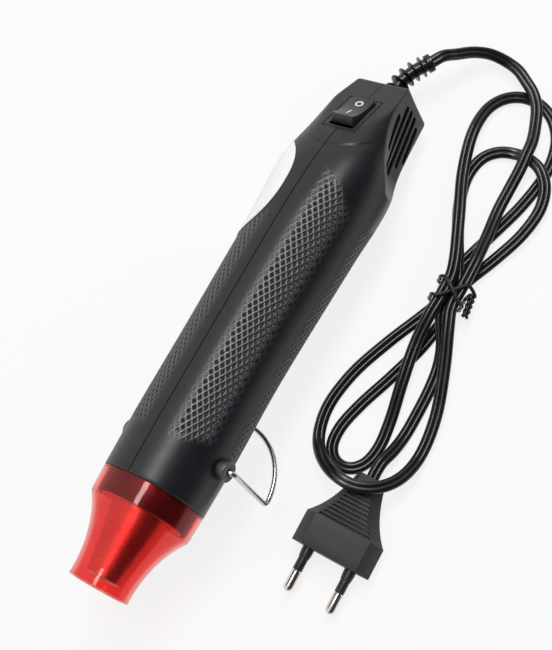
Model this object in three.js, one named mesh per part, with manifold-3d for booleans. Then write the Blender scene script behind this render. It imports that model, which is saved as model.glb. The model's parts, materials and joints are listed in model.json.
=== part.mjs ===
// A small hot air tool, lying on its wire stand with its flat lead tied in a figure of eight.
// Millimetres, +Z up, the table at z = 0. In the tool's own frame x is its right, y runs to its rear,
// z rises to its switch, and y = 0 is the joint between the red hood and the black housing.
import * as THREE from 'three';
import { mergeVertices } from 'three/addons/utils/BufferGeometryUtils.js';
import Module from 'manifold-3d';

const wasm = await Module();
wasm.setup();

// Clearances
const SEAT_GAP = 0.3;
const PARTING_GAP = 0.15;
const OVERCUT = 1;

// How the tool lies on the table, degrees
const NOSE_UP = 5.68;
const ROLL = 27.46;

// Housing: round sections along the tool, each a place, a radius and how far its centre drops.
// The head's places are measured forward from the rear end.
const WALL = 2;
const BODY_LENGTH = 190.7;
const JOINT_RADIUS = 20.9;
const GRIP_START = 24;
const GRIP_END = 60;
const GRIP_RADIUS = 21.4;
const FLARE_FROM_REAR = 73.7;
const FLARE_RADIUS = 22.7;
const FLARE_DROP = 1.8;
const SHOULDER_FROM_REAR = 46.7;
const SHOULDER_RADIUS = 22.8;
const SHOULDER_DROP = 4.1;
const WAIST_FROM_REAR = 27.7;
const WAIST_RADIUS = 19.8;
const WAIST_DROP = 4.8;
const REAR_RADIUS = 17.6;
const REAR_DROP = 8.2;
const REAR_EDGE_ROUND = 1.6;
const HEAD_SQUARENESS = 2.7;
const SQUARE_FROM_REAR = 80.7;
const SQUARE_LENGTH = 40;
const SKIN_STEP = 16;
const HEAD_STEP = 5;
const CAVITY_STEP = 24;
const HEAD_CAVITY_STEP = 8;

// Slanted switch panel and the two scooped vent faces
const PANEL_FROM_REAR = 40.7;
const PANEL_HEIGHT = 18.6;
const PANEL_ANGLE = 21;
const PANEL_BLEND = 0.8;
const REAR_HALF_WIDTH = 12;
const SCOOP_TAPER = 0.14;
const SCOOP_BEND_FROM_REAR = 32.7;
const SCOOP_BEND_LENGTH = 12;
const SCOOP_FLARE = 5;
const SCOOP_BLEND = 0.6;

// Vent slots: height above the axis, and how far ahead of the rear each one starts and ends
const SLOT_WIDTH = 2.9;
const SLOTS = [
  [2.4, 29.7, 12.7], [-2, 35.7, 5.7], [-6.4, 35.7, 4.7], [-10.8, 29.7, 4.7], [-15.2, 24.7, 6.7],
];

// Collar, hood and heater
const SPIGOT_RADIUS = 18.6;
const SPIGOT_LENGTH = 9;
const SPIGOT_BORE = 17.2;
const SPIGOT_DEPTH = 4;
const HOOD_LENGTH = 40.35;
const HOOD_WALL = 1.6;
const HOOD_SHOULDER_AT = 10.2;
const HOOD_SHOULDER_RADIUS = 20.57;
const HOOD_THROAT_AT = 23;
const HOOD_THROAT_RADIUS = 11.6;
const HOOD_RIM_RADIUS = 12.17;
const HOLDER_FRONT = 7.6;
const HOLDER_THICKNESS = 4;
const TUBE_FRONT = 36.3;
const TUBE_FRONT_RADIUS = 7;
const TUBE_REAR_RADIUS = 12.2;
const TUBE_WALL = 0.5;
const MICA_THICKNESS = 0.5;
const LINER_THICKNESS = 0.3;
const COIL_WIRE_RADIUS = 0.4;
const COIL_TURNS = 9;
const COIL_FRONT = 33;
const COIL_REAR = 13;
const PLATE_OVERHANG = 1;
const CUTOUT_WIDTH = 3;
const CUTOUT_LENGTH = 8;
const CUTOUT_HEIGHT = 4;
const CUTOUT_FROM_FLANGE = 1;

// Fan and motor
const SHAFT_RADIUS = 1;
const SHAFT_NOSE = 2;
const FAN_AT = 20;
const FAN_LENGTH = 10;
const FAN_RADIUS = 15.8;
const FAN_HUB_RADIUS = 5;
const FAN_BLADES = 7;
const FAN_PITCH = 38;
const BLADE_THICKNESS = 1.2;
const BLADE_ROOT = 1;
const MOTOR_AT = 36;
const MOTOR_LENGTH = 26;
const MOTOR_RADIUS = 12;
const CAN_WALL = 0.8;
const CAP_THICKNESS = 3;
const MAGNET_THICKNESS = 1.6;
const MAGNET_ARC = 130;
const MAGNET_END_ROOM = 1;
const AIR_GAP = 0.5;
const MOUNT_AT = 41;
const MOUNT_LENGTH = 14;
const MOUNT_WALL = 2.2;
const MOUNT_RIB = 2.4;
const ROTOR_SLOT = 1.2;
const ROTOR_END_ROOM = 2;
const TERMINAL_LENGTH = 4;
const TERMINAL_SPREAD = 6;
const TERMINAL_WIDTH = 2.8;
const TERMINAL_THICKNESS = 0.8;
const BOARD_THICKNESS = 1.6;
const BOARD_RADIUS = 10.5;
const DIODE_RADIUS = 1.4;
const DIODE_LENGTH = 5.2;
const DIODE_PITCH = 3.6;
const DIODE_COUNT = 4;

// Inner wires: straight ends, pads on the board, and the bends and runs between
const LEAD_RADIUS = 0.9;
const LEAD_SLACK = 0.7;
const LEAD_STRAIGHT = 2;
const PAD_ACROSS = 7.4;
const PAD_HEIGHT = 4.4;
const PAD_RUN = 10;
const LIVE_BEND = [1.6, 4, 0.5];
const SWITCHED_BEND = [1, -5, -1.5];
const SWITCHED_RUN = [6, -3];
const NEUTRAL_BEND = [-3.2, -6, -0.8];
const NEUTRAL_RUN = [-6, -8];

// Switch
const SWITCH_FROM_REAR = 22.45;
const FLANGE_WIDTH = 15;
const FLANGE_LENGTH = 21;
const FLANGE_THICKNESS = 1.3;
const SWITCH_WIDTH = 12.6;
const SWITCH_LENGTH = 19.6;
const SWITCH_DEPTH = 13;
const ROCKER_WIDTH = 10.2;
const ROCKER_LENGTH = 16.4;
const ROCKER_END_HEIGHT = 2.9;
const ROCKER_MIDDLE_HEIGHT = 1.6;
const ROCKER_DEPTH = 4.4;
const ROCKER_PIVOT_DEPTH = 2.8;
const ROCKER_TILT = 9;
const ROCKER_SWING_ROOM = 0.9;
const POCKET_DEPTH = 6.5;
const BLADE_LENGTH = 6;
const BLADE_WIDTH = 4.8;
const BLADE_SPREAD = 5;

// Stand
const STAND_AT = 18;
const STAND_BOSS_RADIUS = 4.2;
const STAND_BOSS_END = 24.6;
const STAND_HOLE_DEPTH = 4.6;
const STAND_WIRE_RADIUS = 1;
const STAND_HALF_WIDTH = 26.6;
const STAND_LEG = 31.6;
const STAND_BEND = 2.4;

// Screws: height, and place along the tool or distance from its rear
const SCREW_RADIUS = 1.2;
const SCREW_HEAD_RADIUS = 2.6;
const SCREW_HEAD_THICKNESS = 1.8;
const SCREW_BOSS_RADIUS = 3.4;
const SCREW_HEAD_FROM_PARTING = 8;
const SCREW_GRIP = 7;
const FRONT_SCREWS = [[11, -14.6], [82, 15.4]];
const REAR_SCREWS = [[72.7, -18], [22.7, -18.6]];

// Lead: flat twin section, its gland, guard, inner end and clamp
const CORD_WIDTH = 5.2;
const CORD_THICKNESS = 3.2;
const GLAND_HEIGHT = -6.5;
const GLAND_RADIUS = 3.6;
const GLAND_FLANGE_RADIUS = 5;
const GLAND_FLANGE = 2.2;
const GUARD_RADIUS = 2.8;
const GUARD_RIB_RADIUS = 4.6;
const GUARD_RIB_THICKNESS = 0.9;
const GUARD_RIBS = 5;
const GUARD_FIRST_RIB = 0.14;
const GUARD_LAST_RIB = 0.8;
const GUARD_TIP_RADIUS = 3.9;
const GUARD_TIP_LENGTH = 2.6;
const GUARD_REACH = [[0, 0, 0], [0.4, 7, -0.2], [3, 14, -0.6], [8, 21.3, -1.5]];
const TAIL_LENGTH = 11;
const CLAMP_FROM_TAIL_END = 2.7;
const CLAMP_LENGTH = 4;
const CLAMP_THICKNESS = 2.4;
const CLAMP_SCREW_SPREAD = 5.2;
const CLAMP_SCREW_RADIUS = 1;
const CLAMP_HEAD_RADIUS = 1.9;
const CLAMP_HEAD_THICKNESS = 1.2;

// Oval label on the left of the neck, with its ends cut a little short
const LABEL_FROM_REAR = 65.7;
const LABEL_HALF_LENGTH = 21.5;
const LABEL_ANGLE = 72;
const LABEL_HALF_ANGLE = 56;
const LABEL_FULLNESS = 2.3;
const LABEL_END = 0.97;
const LABEL_THICKNESS = 0.3;

// Lead on the table: hand-laid points from the guard to the tie and from the tie to the plug
const CORD_STEPS = 172;
const FREE_STRETCH = [
  [10.5, 134.5, 15.5], [16.5, 141, 11], [23, 145, 7.6], [29.5, 146, 5.9], [36, 145, 5.6], [41.5, 142, 5.6],
  [46.5, 138.5, 5.9], [50.5, 133.5, 6], [53.5, 126, 6.6], [55.5, 118.5, 7.6], [56, 112, 8.2],
  [56.5, 105.5, 7.2], [56.5, 95.5, 5.2], [56.5, 85.5, 5], [57.5, 72, 7.4], [58, 60, 10.4],
];
const PLUG_STRETCH = [
  [56.2, 33, 7.2], [59.2, 28.2, 6], [62.4, 22.6, 3.8], [64.8, 15.5, 1.8], [66, 6, 1.8], [66.2, -6, 1.8],
  [65.8, -17, 2], [64.4, -25, 4.4], [62.6, -31, 6.6], [62.2, -35, 7],
];

// The tie, and where the five strands pass through it: across and height, in the lead's order
const TIE_PLACE = [55, 43.3];
const TIE_HALF_LENGTH = 6;
const TIE_WIRE_RADIUS = 0.55;
const TIE_START = -1.6;
const TIE_FINISH = 0.8;
const TIE_FIRST_END = [[2.4, -7, -3], [0.8, -4, -0.6]];
const TIE_LAST_END = [[0.6, 2, 0], [1.6, 4, -0.8], [2.2, 6.4, -3.2]];
const LOW_STRAND = 3.6;
const MIDDLE_STRAND = 7.4;
const HIGH_STRAND = 11.2;
const STRAND_SPREAD = 3.1;
const STRANDS = [
  [STRAND_SPREAD, HIGH_STRAND], [-STRAND_SPREAD, LOW_STRAND], [-STRAND_SPREAD, HIGH_STRAND],
  [STRAND_SPREAD, LOW_STRAND], [0, MIDDLE_STRAND],
];

// Loops of the figure of eight: teardrops out of the tie, with the strand's heights at steps that
// close up towards each loop's far end
const LOOP_CROWDING = 0.35;
const LOOPS = [
  { reach: -83, halfWidth: 19, lean: -1.6, fullness: 0.7,
    heights: [11.2, 11, 8.6, 6.2, 5.8, 11.2, 13.7, 14, 13, 8.6, 2.8, 1.8, 1.8, 1.8, 2.8, 3.6] },
  { reach: 88, halfWidth: 17.8, lean: -3.5, fullness: 0.9,
    heights: [3.6, 2.6, 1.9, 1.8, 1.8, 1.8, 1.8, 1.8, 1.8, 1.8, 3, 5.6, 6.2, 9.6, 11.2, 11.2] },
  { reach: -77, halfWidth: 10.4, lean: -6, fullness: 1.7,
    heights: [11.2, 10.8, 8, 5.8, 2.8, 1.8, 1.8, 1.8, 1.8, 1.8, 1.8, 1.8, 1.8, 1.8, 1.8, 2.2, 3.6] },
  { reach: 63, halfWidth: 15.6, lean: -2.1, fullness: 0.75,
    heights: [3.6, 3, 3.2, 4.8, 5.6, 5.9, 5.9, 4.2, 2.2, 1.8, 1.8, 1.8, 3, 6.4, 7.4, 7.4] },
];

// Plug, lying flat with its two pins towards the front
const PLUG_PLACE = [62.2, -74.84, 7];
const PLUG_HALF_WIDTH = 17;
const PLUG_FACE_HALF_WIDTH = 12;
const PLUG_HALF_THICKNESS = 6.85;
const PLUG_EDGE = 2;
const PLUG_STRAIGHT = 13;
const PLUG_NECK_AT = 21;
const PLUG_NECK_HALF_WIDTH = 9;
const PLUG_NECK_HALF_THICKNESS = 4.2;
const PLUG_LENGTH = 36;
const PLUG_TAIL_HALF_WIDTH = 6;
const PLUG_TAIL_HALF_THICKNESS = 3.6;
const PLUG_GROOVES = 7;
const PLUG_GROOVE_PITCH = 2.6;
const PLUG_GROOVE_WIDTH = 1;
const PLUG_GROOVE_DEPTH = 0.6;
const PLUG_GROOVES_AT = 16.4;
const PIN_SPREAD = 9.3;
const PIN_LENGTH = 19;
const PIN_RADIUS = 2;
const PIN_CORE_RADIUS = 1.2;
const PIN_ROOT = 6;
const SLEEVE_LENGTH = 10;
const SLEEVE_COLLAR_RADIUS = 2.5;
const SLEEVE_COLLAR_LENGTH = 1.6;

const radians = THREE.MathUtils.degToRad;
const vector = (x, y, z) => new THREE.Vector3(x, y, z);

// Materials
function material(color, roughness, metalness = 0) {
  return new THREE.MeshStandardMaterial({ color, roughness, metalness });
}
const BLACK_PLASTIC = material(0x232426, 0.5);
const BLACK_GLOSS = material(0x141416, 0.32);
const RED_CLEAR = material(0xd8222a, 0.15);
const BARE_STEEL = material(0xb9b7b2, 0.25, 1);
const NICKEL = material(0xd2cfc8, 0.18, 1);
const BRASS = material(0xb9903e, 0.3, 1);
const MICA = material(0xb8a98a, 0.45);
const CERAMIC = material(0xe4ddcf, 0.7);
const COIL_WIRE = material(0x6d625a, 0.4, 1);
const BOARD_GREEN = material(0x2f5d3a, 0.5);
const WHITE_PLASTIC = material(0xe8e6e0, 0.5);
const PAPER = material(0xf2f2ef, 0.6);
const MAGNET = material(0x3a3a3d, 0.6);
const LEAD_RED = material(0xa8322b, 0.5);
const LEAD_BLUE = material(0x2c4b8a, 0.5);

// Closed geometry with faces pointing out
function closed(geometry) {
  const bare = new THREE.BufferGeometry();
  bare.setAttribute('position', geometry.getAttribute('position').clone());
  if (geometry.index) bare.setIndex(geometry.index.clone());
  const merged = mergeVertices(bare, 1e-4);
  const index = Array.from(merged.index.array);
  const position = merged.getAttribute('position');
  const corners = [vector(0, 0, 0), vector(0, 0, 0), vector(0, 0, 0)];
  const kept = [];
  let volume = 0;
  for (let i = 0; i < index.length; i += 3) {
    const [a, b, c] = [index[i], index[i + 1], index[i + 2]];
    if (a === b || b === c || a === c) continue;
    corners.forEach((corner, k) => corner.fromBufferAttribute(position, index[i + k]));
    volume += corners[0].dot(corners[1].clone().cross(corners[2]));
    kept.push(a, b, c);
  }
  if (volume < 0) {
    for (let i = 0; i < kept.length; i += 3) [kept[i], kept[i + 1]] = [kept[i + 1], kept[i]];
  }
  merged.setIndex(kept);
  return merged;
}

function solid(geometry) {
  const body = closed(geometry);
  const vertProperties = new Float32Array(body.getAttribute('position').array);
  const triVerts = new Uint32Array(body.index.array);
  return new wasm.Manifold(new wasm.Mesh({ numProp: 3, vertProperties, triVerts }));
}

function shape(body) {
  const mesh = body.getMesh();
  const geometry = new THREE.BufferGeometry();
  geometry.setAttribute('position', new THREE.BufferAttribute(new Float32Array(mesh.vertProperties), 3));
  geometry.setIndex(Array.from(mesh.triVerts));
  return geometry;
}

const join = (...pieces) => pieces.reduce((all, piece) => all.add(piece));
const cut = (body, ...tools) => tools.reduce((rest, tool) => rest.subtract(tool), body);

// Simple forms, placed in the tool's frame
function block(x0, x1, y0, y1, z0, z1) {
  const geometry = new THREE.BoxGeometry(x1 - x0, y1 - y0, z1 - z0);
  return geometry.translate((x0 + x1) / 2, (y0 + y1) / 2, (z0 + z1) / 2);
}

function rod(radius, from, to, sides = 20) {
  const along = to.clone().sub(from);
  const geometry = new THREE.CylinderGeometry(radius, radius, along.length(), sides);
  const turn = new THREE.Quaternion().setFromUnitVectors(vector(0, 1, 0), along.clone().normalize());
  geometry.applyQuaternion(turn);
  return geometry.translate(...from.clone().add(to).multiplyScalar(0.5).toArray());
}

// A ring of the given profile of [radius, y] corners, turned about the tool's axis
function turned(profile, segments = 32) {
  const corners = [...profile, profile[0]].map(([radius, y]) => new THREE.Vector2(radius, y));
  return new THREE.LatheGeometry(corners, segments);
}

const tubeRing = (inner, outer, y0, y1, segments) =>
  turned([[inner, y0], [outer, y0], [outer, y1], [inner, y1]], segments);

function roundSection(radius, sides) {
  const section = new THREE.Shape();
  for (let i = 0; i < sides; i += 1) {
    const angle = (2 * Math.PI * i) / sides;
    const [x, y] = [radius * Math.cos(angle), radius * Math.sin(angle)];
    if (i === 0) section.moveTo(x, y);
    else section.lineTo(x, y);
  }
  section.closePath();
  return section;
}

const sweep = (section, extrudePath, steps, curveSegments = 1) =>
  new THREE.ExtrudeGeometry(section, { steps, extrudePath, curveSegments, bevelEnabled: false });

const wire = (points, radius, steps, sides = 5) =>
  sweep(roundSection(radius, sides), new THREE.CatmullRomCurve3(points, false, 'centripetal'), steps);

function plate(corners, thickness) {
  const outline = new THREE.Shape(corners.map(([x, y]) => new THREE.Vector2(x, y)));
  const geometry = new THREE.ExtrudeGeometry(outline, { depth: thickness, bevelEnabled: false });
  return geometry.translate(0, 0, -thickness / 2);
}

// Housing skin: a reach from the section's centre, the least of round body, switch panel and vent scoop
const fromRear = (distance) => BODY_LENGTH - distance;
const flareAt = fromRear(FLARE_FROM_REAR);
const STATIONS = [
  [0, JOINT_RADIUS, 0],
  [GRIP_START, GRIP_RADIUS, 0],
  [GRIP_END, GRIP_RADIUS, 0],
  [flareAt, FLARE_RADIUS, FLARE_DROP],
  [fromRear(SHOULDER_FROM_REAR), SHOULDER_RADIUS, SHOULDER_DROP],
  [fromRear(WAIST_FROM_REAR), WAIST_RADIUS, WAIST_DROP],
  [BODY_LENGTH, REAR_RADIUS, REAR_DROP],
];

function stationValue(place, column) {
  const last = STATIONS.length - 1;
  const y = THREE.MathUtils.clamp(place, 0, BODY_LENGTH);
  let i = 0;
  while (i < last - 1 && y > STATIONS[i + 1][0]) i += 1;
  const slope = (k) => {
    const before = STATIONS[Math.max(k - 1, 0)];
    const after = STATIONS[Math.min(k + 1, last)];
    return (after[column] - before[column]) / (after[0] - before[0]);
  };
  const [start, end] = [STATIONS[i], STATIONS[i + 1]];
  const span = end[0] - start[0];
  const t = (y - start[0]) / span;
  const bend = t * t * (3 - 2 * t);
  const lead = t * (1 - t) * (1 - t) * slope(i) - t * t * (1 - t) * slope(i + 1);
  return start[column] + bend * (end[column] - start[column]) + span * lead;
}

const bodyRadius = (y) => stationValue(y, 1);
const bodyDrop = (y) => stationValue(y, 2);
const panelHeight = (y) =>
  PANEL_HEIGHT - Math.tan(radians(PANEL_ANGLE)) * (y - fromRear(PANEL_FROM_REAR));

function scoopReach(y) {
  const straight = REAR_HALF_WIDTH + SCOOP_TAPER * fromRear(y);
  const lead = Math.max(0, fromRear(SCOOP_BEND_FROM_REAR) - y) / SCOOP_BEND_LENGTH;
  return straight + SCOOP_FLARE * lead * lead;
}

function softLeast(a, b, blend) {
  const near = Math.max(blend - Math.abs(a - b), 0) / blend;
  return Math.min(a, b) - (near * near * blend) / 4;
}

function rearRounding(y) {
  const into = Math.max(0, y - fromRear(REAR_EDGE_ROUND));
  return REAR_EDGE_ROUND - Math.sqrt(Math.max(0, REAR_EDGE_ROUND ** 2 - into ** 2));
}

// The upper half turns from round to squarer along the neck
function roundReach(y, up, side) {
  if (up <= 0) return bodyRadius(y);
  const start = fromRear(SQUARE_FROM_REAR);
  const t = THREE.MathUtils.smoothstep(y, start, start + SQUARE_LENGTH);
  const power = THREE.MathUtils.lerp(2, HEAD_SQUARENESS, t);
  return bodyRadius(y) / (up ** power + side ** power) ** (1 / power);
}

function skinReach(y, angle, inset) {
  const up = Math.cos(angle);
  const side = Math.abs(Math.sin(angle));
  const nearlyLevel = 0.05;
  let reach = roundReach(y, up, side) - inset;
  if (up > nearlyLevel) reach = softLeast(reach, (panelHeight(y) + bodyDrop(y) - inset) / up, PANEL_BLEND);
  if (side > nearlyLevel) reach = softLeast(reach, (scoopReach(y) - inset) / side, SCOOP_BLEND);
  return reach - rearRounding(y);
}

// Places along the tool where the skin is sampled, closer together on the head
function skinPlaces(from, to, step, headStep) {
  const places = [];
  let y = from;
  while (y < to - headStep / 2) {
    places.push(y);
    y += y < fromRear(SQUARE_FROM_REAR) ? step : headStep;
  }
  for (const back of [REAR_EDGE_ROUND, REAR_EDGE_ROUND / 3]) {
    const edge = fromRear(back);
    if (edge < to && edge > places[places.length - 1] + SEAT_GAP) places.push(edge);
  }
  places.push(to);
  return places;
}

// Half of a long closed form: side 1 is the right, -1 the left, flat is where its flat face lies
function halfForm(side, places, steps, flat, reachAt) {
  const ring = steps + 2;
  const points = [];
  const index = [];
  for (const y of places) {
    const centre = -bodyDrop(y);
    for (let j = 0; j <= steps; j += 1) {
      const angle = (Math.PI * j) / steps;
      const reach = reachAt(y, angle);
      points.push(side * Math.max(flat, reach * Math.sin(angle)), y, centre + reach * Math.cos(angle));
    }
    points.push(side * flat, y, centre);
  }
  for (let i = 0; i + 1 < places.length; i += 1) {
    for (let j = 0; j < ring; j += 1) {
      const [a, b] = [i * ring + j, i * ring + ((j + 1) % ring)];
      index.push(a, a + ring, b, b, a + ring, b + ring);
    }
  }
  const end = (places.length - 1) * ring;
  for (let j = 0; j < steps; j += 1) {
    index.push(steps + 1, j, j + 1);
    index.push(end + steps + 1, end + j + 1, end + j);
  }
  const geometry = new THREE.BufferGeometry();
  geometry.setAttribute('position', new THREE.BufferAttribute(new Float32Array(points), 3));
  geometry.setIndex(index);
  return geometry;
}

// Switch frame: on the panel, y down the slope towards the rear, z out of the panel
const switchAt = fromRear(SWITCH_FROM_REAR);
const SWITCH_PLACE = new THREE.Matrix4()
  .makeRotationX(-radians(PANEL_ANGLE))
  .setPosition(0, switchAt, panelHeight(switchAt));
const onPanel = (geometry) => geometry.applyMatrix4(SWITCH_PLACE);

function panelCuts() {
  const room = SEAT_GAP;
  const [wide, long] = [FLANGE_WIDTH / 2 + room, FLANGE_LENGTH / 2 + room];
  const [bodyWide, bodyLong] = [SWITCH_WIDTH / 2 + room, SWITCH_LENGTH / 2 + room];
  const deep = SWITCH_DEPTH + room;
  const recess = onPanel(block(-wide, wide, -long, long, -FLANGE_THICKNESS - room, WALL));
  const window = onPanel(block(-bodyWide, bodyWide, -bodyLong, bodyLong, -deep, 0));
  return [solid(recess), solid(window)];
}

const sideReach = (y, z, inset) => {
  const radius = bodyRadius(y) - inset;
  const round = Math.sqrt(Math.max(1, radius ** 2 - (z + bodyDrop(y)) ** 2));
  return Math.min(round, scoopReach(y) - inset);
};

const acrossRod = (radius, y, z, x0, x1, sides) => rod(radius, vector(x0, y, z), vector(x1, y, z), sides);
const screwPlaces = [...FRONT_SCREWS, ...REAR_SCREWS.map(([distance, z]) => [fromRear(distance), z])];

// The lead's inner end between the gland's flange and the clamp
const flangeFront = fromRear(WALL + SEAT_GAP + GLAND_FLANGE);
const tailFront = flangeFront - SEAT_GAP - TAIL_LENGTH;
const tailFace = CORD_THICKNESS / 2 + SEAT_GAP;
const clampAt = tailFront + CLAMP_FROM_TAIL_END;
const clampMiddle = clampAt + CLAMP_LENGTH / 2;
const clampHeights = [GLAND_HEIGHT + CLAMP_SCREW_SPREAD, GLAND_HEIGHT - CLAMP_SCREW_SPREAD];

function housingHalf(side) {
  const skin = skinPlaces(0, BODY_LENGTH, SKIN_STEP, HEAD_STEP);
  const lining = skinPlaces(SPIGOT_DEPTH, fromRear(WALL), CAVITY_STEP, HEAD_CAVITY_STEP);
  const outer = solid(halfForm(side, skin, 16, PARTING_GAP, (y, angle) => skinReach(y, angle, 0)));
  const collar = (front, rear, flat, radius) => solid(halfForm(side, [front, rear], 14, flat, () => radius));
  const spigot = collar(-SPIGOT_LENGTH, SPIGOT_DEPTH, PARTING_GAP, SPIGOT_RADIUS);
  const bore = collar(-2 * SPIGOT_LENGTH, 2 * SPIGOT_DEPTH, -WALL, SPIGOT_BORE);
  const cavity = solid(halfForm(side, lining, 12, -WALL, (y, angle) => skinReach(y, angle, WALL)));
  const standBoss = solid(acrossRod(STAND_BOSS_RADIUS, STAND_AT, 0, side * (GRIP_RADIUS - WALL),
    side * STAND_BOSS_END));
  const standHole = solid(acrossRod(STAND_WIRE_RADIUS + SEAT_GAP, STAND_AT, 0,
    side * (STAND_BOSS_END - STAND_HOLE_DEPTH), side * (STAND_BOSS_END + WALL), 12));
  const pillars = screwPlaces.map(([y, z]) => {
    const pillar = acrossRod(SCREW_BOSS_RADIUS, y, z, side * PARTING_GAP, side * SHOULDER_RADIUS, 12);
    return solid(pillar).intersect(outer);
  });
  const screwHoles = screwPlaces.flatMap(([y, z]) => {
    const shank = SCREW_RADIUS + SEAT_GAP;
    if (side > 0) return [solid(acrossRod(shank, y, z, -WALL, SCREW_GRIP + SEAT_GAP, 8))];
    const headHole = solid(acrossRod(SCREW_HEAD_RADIUS + SEAT_GAP, y, z, -SCREW_HEAD_FROM_PARTING,
      -2 * SHOULDER_RADIUS, 12));
    return [solid(acrossRod(shank, y, z, WALL, -SCREW_HEAD_FROM_PARTING - WALL, 8)), headHole];
  });
  const slotReach = [side * WALL, side * 2 * REAR_RADIUS].sort((a, b) => a - b);
  const slots = SLOTS.map(([z, start, end]) => solid(
    block(...slotReach, fromRear(start), fromRear(end), z - SLOT_WIDTH / 2, z + SLOT_WIDTH / 2)));
  const gland = solid(rod(GLAND_RADIUS + SEAT_GAP, vector(0, fromRear(2 * WALL), GLAND_HEIGHT),
    vector(0, BODY_LENGTH + WALL, GLAND_HEIGHT)));
  const shell = cut(join(outer, spigot, standBoss), bore, cavity, standHole);
  let half = cut(cut(join(shell, ...pillars), ...screwHoles), ...panelCuts(), gland);
  if (side > 0) {
    const bosses = clampHeights.map((z) => solid(acrossRod(CLAMP_HEAD_RADIUS + SEAT_GAP, clampMiddle, z,
      tailFace, sideReach(clampMiddle, z, WALL / 2), 14)));
    const threads = clampHeights.map((z) => solid(acrossRod(CLAMP_SCREW_RADIUS + SEAT_GAP, clampMiddle, z,
      0, tailFace + SCREW_GRIP / 2 + SEAT_GAP, 10)));
    half = cut(join(half, ...bosses), ...threads);
  }
  return shape(cut(half, ...slots));
}

// Hood, collar pieces and heater
function hoodCurve(inset) {
  const curve = new THREE.QuadraticBezierCurve(
    new THREE.Vector2(HOOD_SHOULDER_RADIUS - inset, -HOOD_SHOULDER_AT - inset / 4),
    new THREE.Vector2(HOOD_THROAT_RADIUS - inset, -HOOD_THROAT_AT),
    new THREE.Vector2(HOOD_RIM_RADIUS - inset, -HOOD_LENGTH),
  );
  return curve.getPoints(6).map((point) => [point.x, point.y]);
}

function nozzleShroud() {
  const inside = hoodCurve(HOOD_WALL).reverse();
  const [outer, inner] = [[JOINT_RADIUS, -SEAT_GAP], [JOINT_RADIUS - HOOD_WALL, -SEAT_GAP]];
  return turned([outer, ...hoodCurve(0), ...inside, inner], 30);
}

const tubeRadius = (y) => {
  const t = (y + HOLDER_FRONT) / (HOLDER_FRONT - TUBE_FRONT);
  return THREE.MathUtils.lerp(TUBE_REAR_RADIUS, TUBE_FRONT_RADIUS, t);
};
const flangeRadius = SPIGOT_BORE - SEAT_GAP;
const tubeRear = -HOLDER_FRONT - SEAT_GAP;
const linerInset = TUBE_WALL + SEAT_GAP;
const coilInset = linerInset + LINER_THICKNESS + SEAT_GAP + COIL_WIRE_RADIUS;
const micaInset = coilInset + COIL_WIRE_RADIUS + SEAT_GAP;

function heatTube() {
  const lip = tubeRear - 2 * TUBE_WALL;
  const inner = (y) => tubeRadius(y) - TUBE_WALL;
  return turned([
    [flangeRadius, tubeRear], [flangeRadius, lip], [tubeRadius(lip), lip], [TUBE_FRONT_RADIUS, -TUBE_FRONT],
    [inner(-TUBE_FRONT), -TUBE_FRONT], [inner(tubeRear), tubeRear],
  ], 30);
}

function micaLiner() {
  const [front, rear] = [-TUBE_FRONT + SEAT_GAP, tubeRear];
  const outer = (y) => tubeRadius(y) - linerInset;
  return turned([
    [outer(rear), rear], [outer(front), front], [outer(front) - LINER_THICKNESS, front],
    [outer(rear) - LINER_THICKNESS, rear],
  ], 24);
}

// The two mica plates cross on the axis, each slotted half way so that they slide together
function micaPlate(slotFromFront) {
  const [front, rear] = [-COIL_FRONT - PLATE_OVERHANG, tubeRear];
  const middle = (front + rear) / 2;
  const half = (y) => tubeRadius(y) - micaInset;
  const slot = MICA_THICKNESS / 2 + SEAT_GAP;
  const [near, far] = slotFromFront
    ? [front - OVERCUT, middle + SEAT_GAP] : [middle - SEAT_GAP, rear + OVERCUT];
  const sheet = plate([[-half(front), front], [half(front), front], [half(rear), rear], [-half(rear), rear]],
    MICA_THICKNESS);
  const notch = block(-slot, slot, near, far, -OVERCUT, OVERCUT);
  return shape(cut(solid(sheet), solid(notch)));
}

class CoilPath extends THREE.Curve {
  getPoint(t, target = vector(0, 0, 0)) {
    const y = THREE.MathUtils.lerp(-COIL_FRONT, -COIL_REAR, t);
    const angle = 2 * Math.PI * COIL_TURNS * t;
    const radius = tubeRadius(y) - coilInset;
    return target.set(radius * Math.cos(angle), y, radius * Math.sin(angle));
  }
}

const heaterCoil = () => sweep(roundSection(COIL_WIRE_RADIUS, 5), new CoilPath(), COIL_TURNS * 12);

function heaterHolder() {
  const [front, rear] = [-HOLDER_FRONT, -HOLDER_FRONT + HOLDER_THICKNESS];
  const [inner, outer] = [tubeRadius(tubeRear) / 3, flangeRadius - 2 * WALL];
  const disc = solid(turned([[0, front], [flangeRadius, front], [flangeRadius, rear], [0, rear]]));
  const windows = [0, 1, 2, 3].map((k) => {
    const sector = tubeRing(inner, outer, front - OVERCUT, rear + OVERCUT, 24);
    const [before, behind] = [front - 2 * OVERCUT, rear + 2 * OVERCUT];
    const spokes = [0, 1].map((turn) => solid(block(-WALL / 2, WALL / 2, before, behind, -outer, outer)
      .rotateY(turn * Math.PI / 2)));
    const quarter = block(0, outer, before, behind, 0, outer).rotateY(k * Math.PI / 2);
    return cut(solid(sector).intersect(solid(quarter)), ...spokes);
  });
  return shape(cut(disc, ...windows));
}

function thermalCutout() {
  const side = MICA_THICKNESS / 2 + SEAT_GAP;
  const rear = tubeRear - CUTOUT_FROM_FLANGE;
  return block(side, side + CUTOUT_WIDTH, rear - CUTOUT_LENGTH, rear, side, side + CUTOUT_HEIGHT);
}

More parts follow.
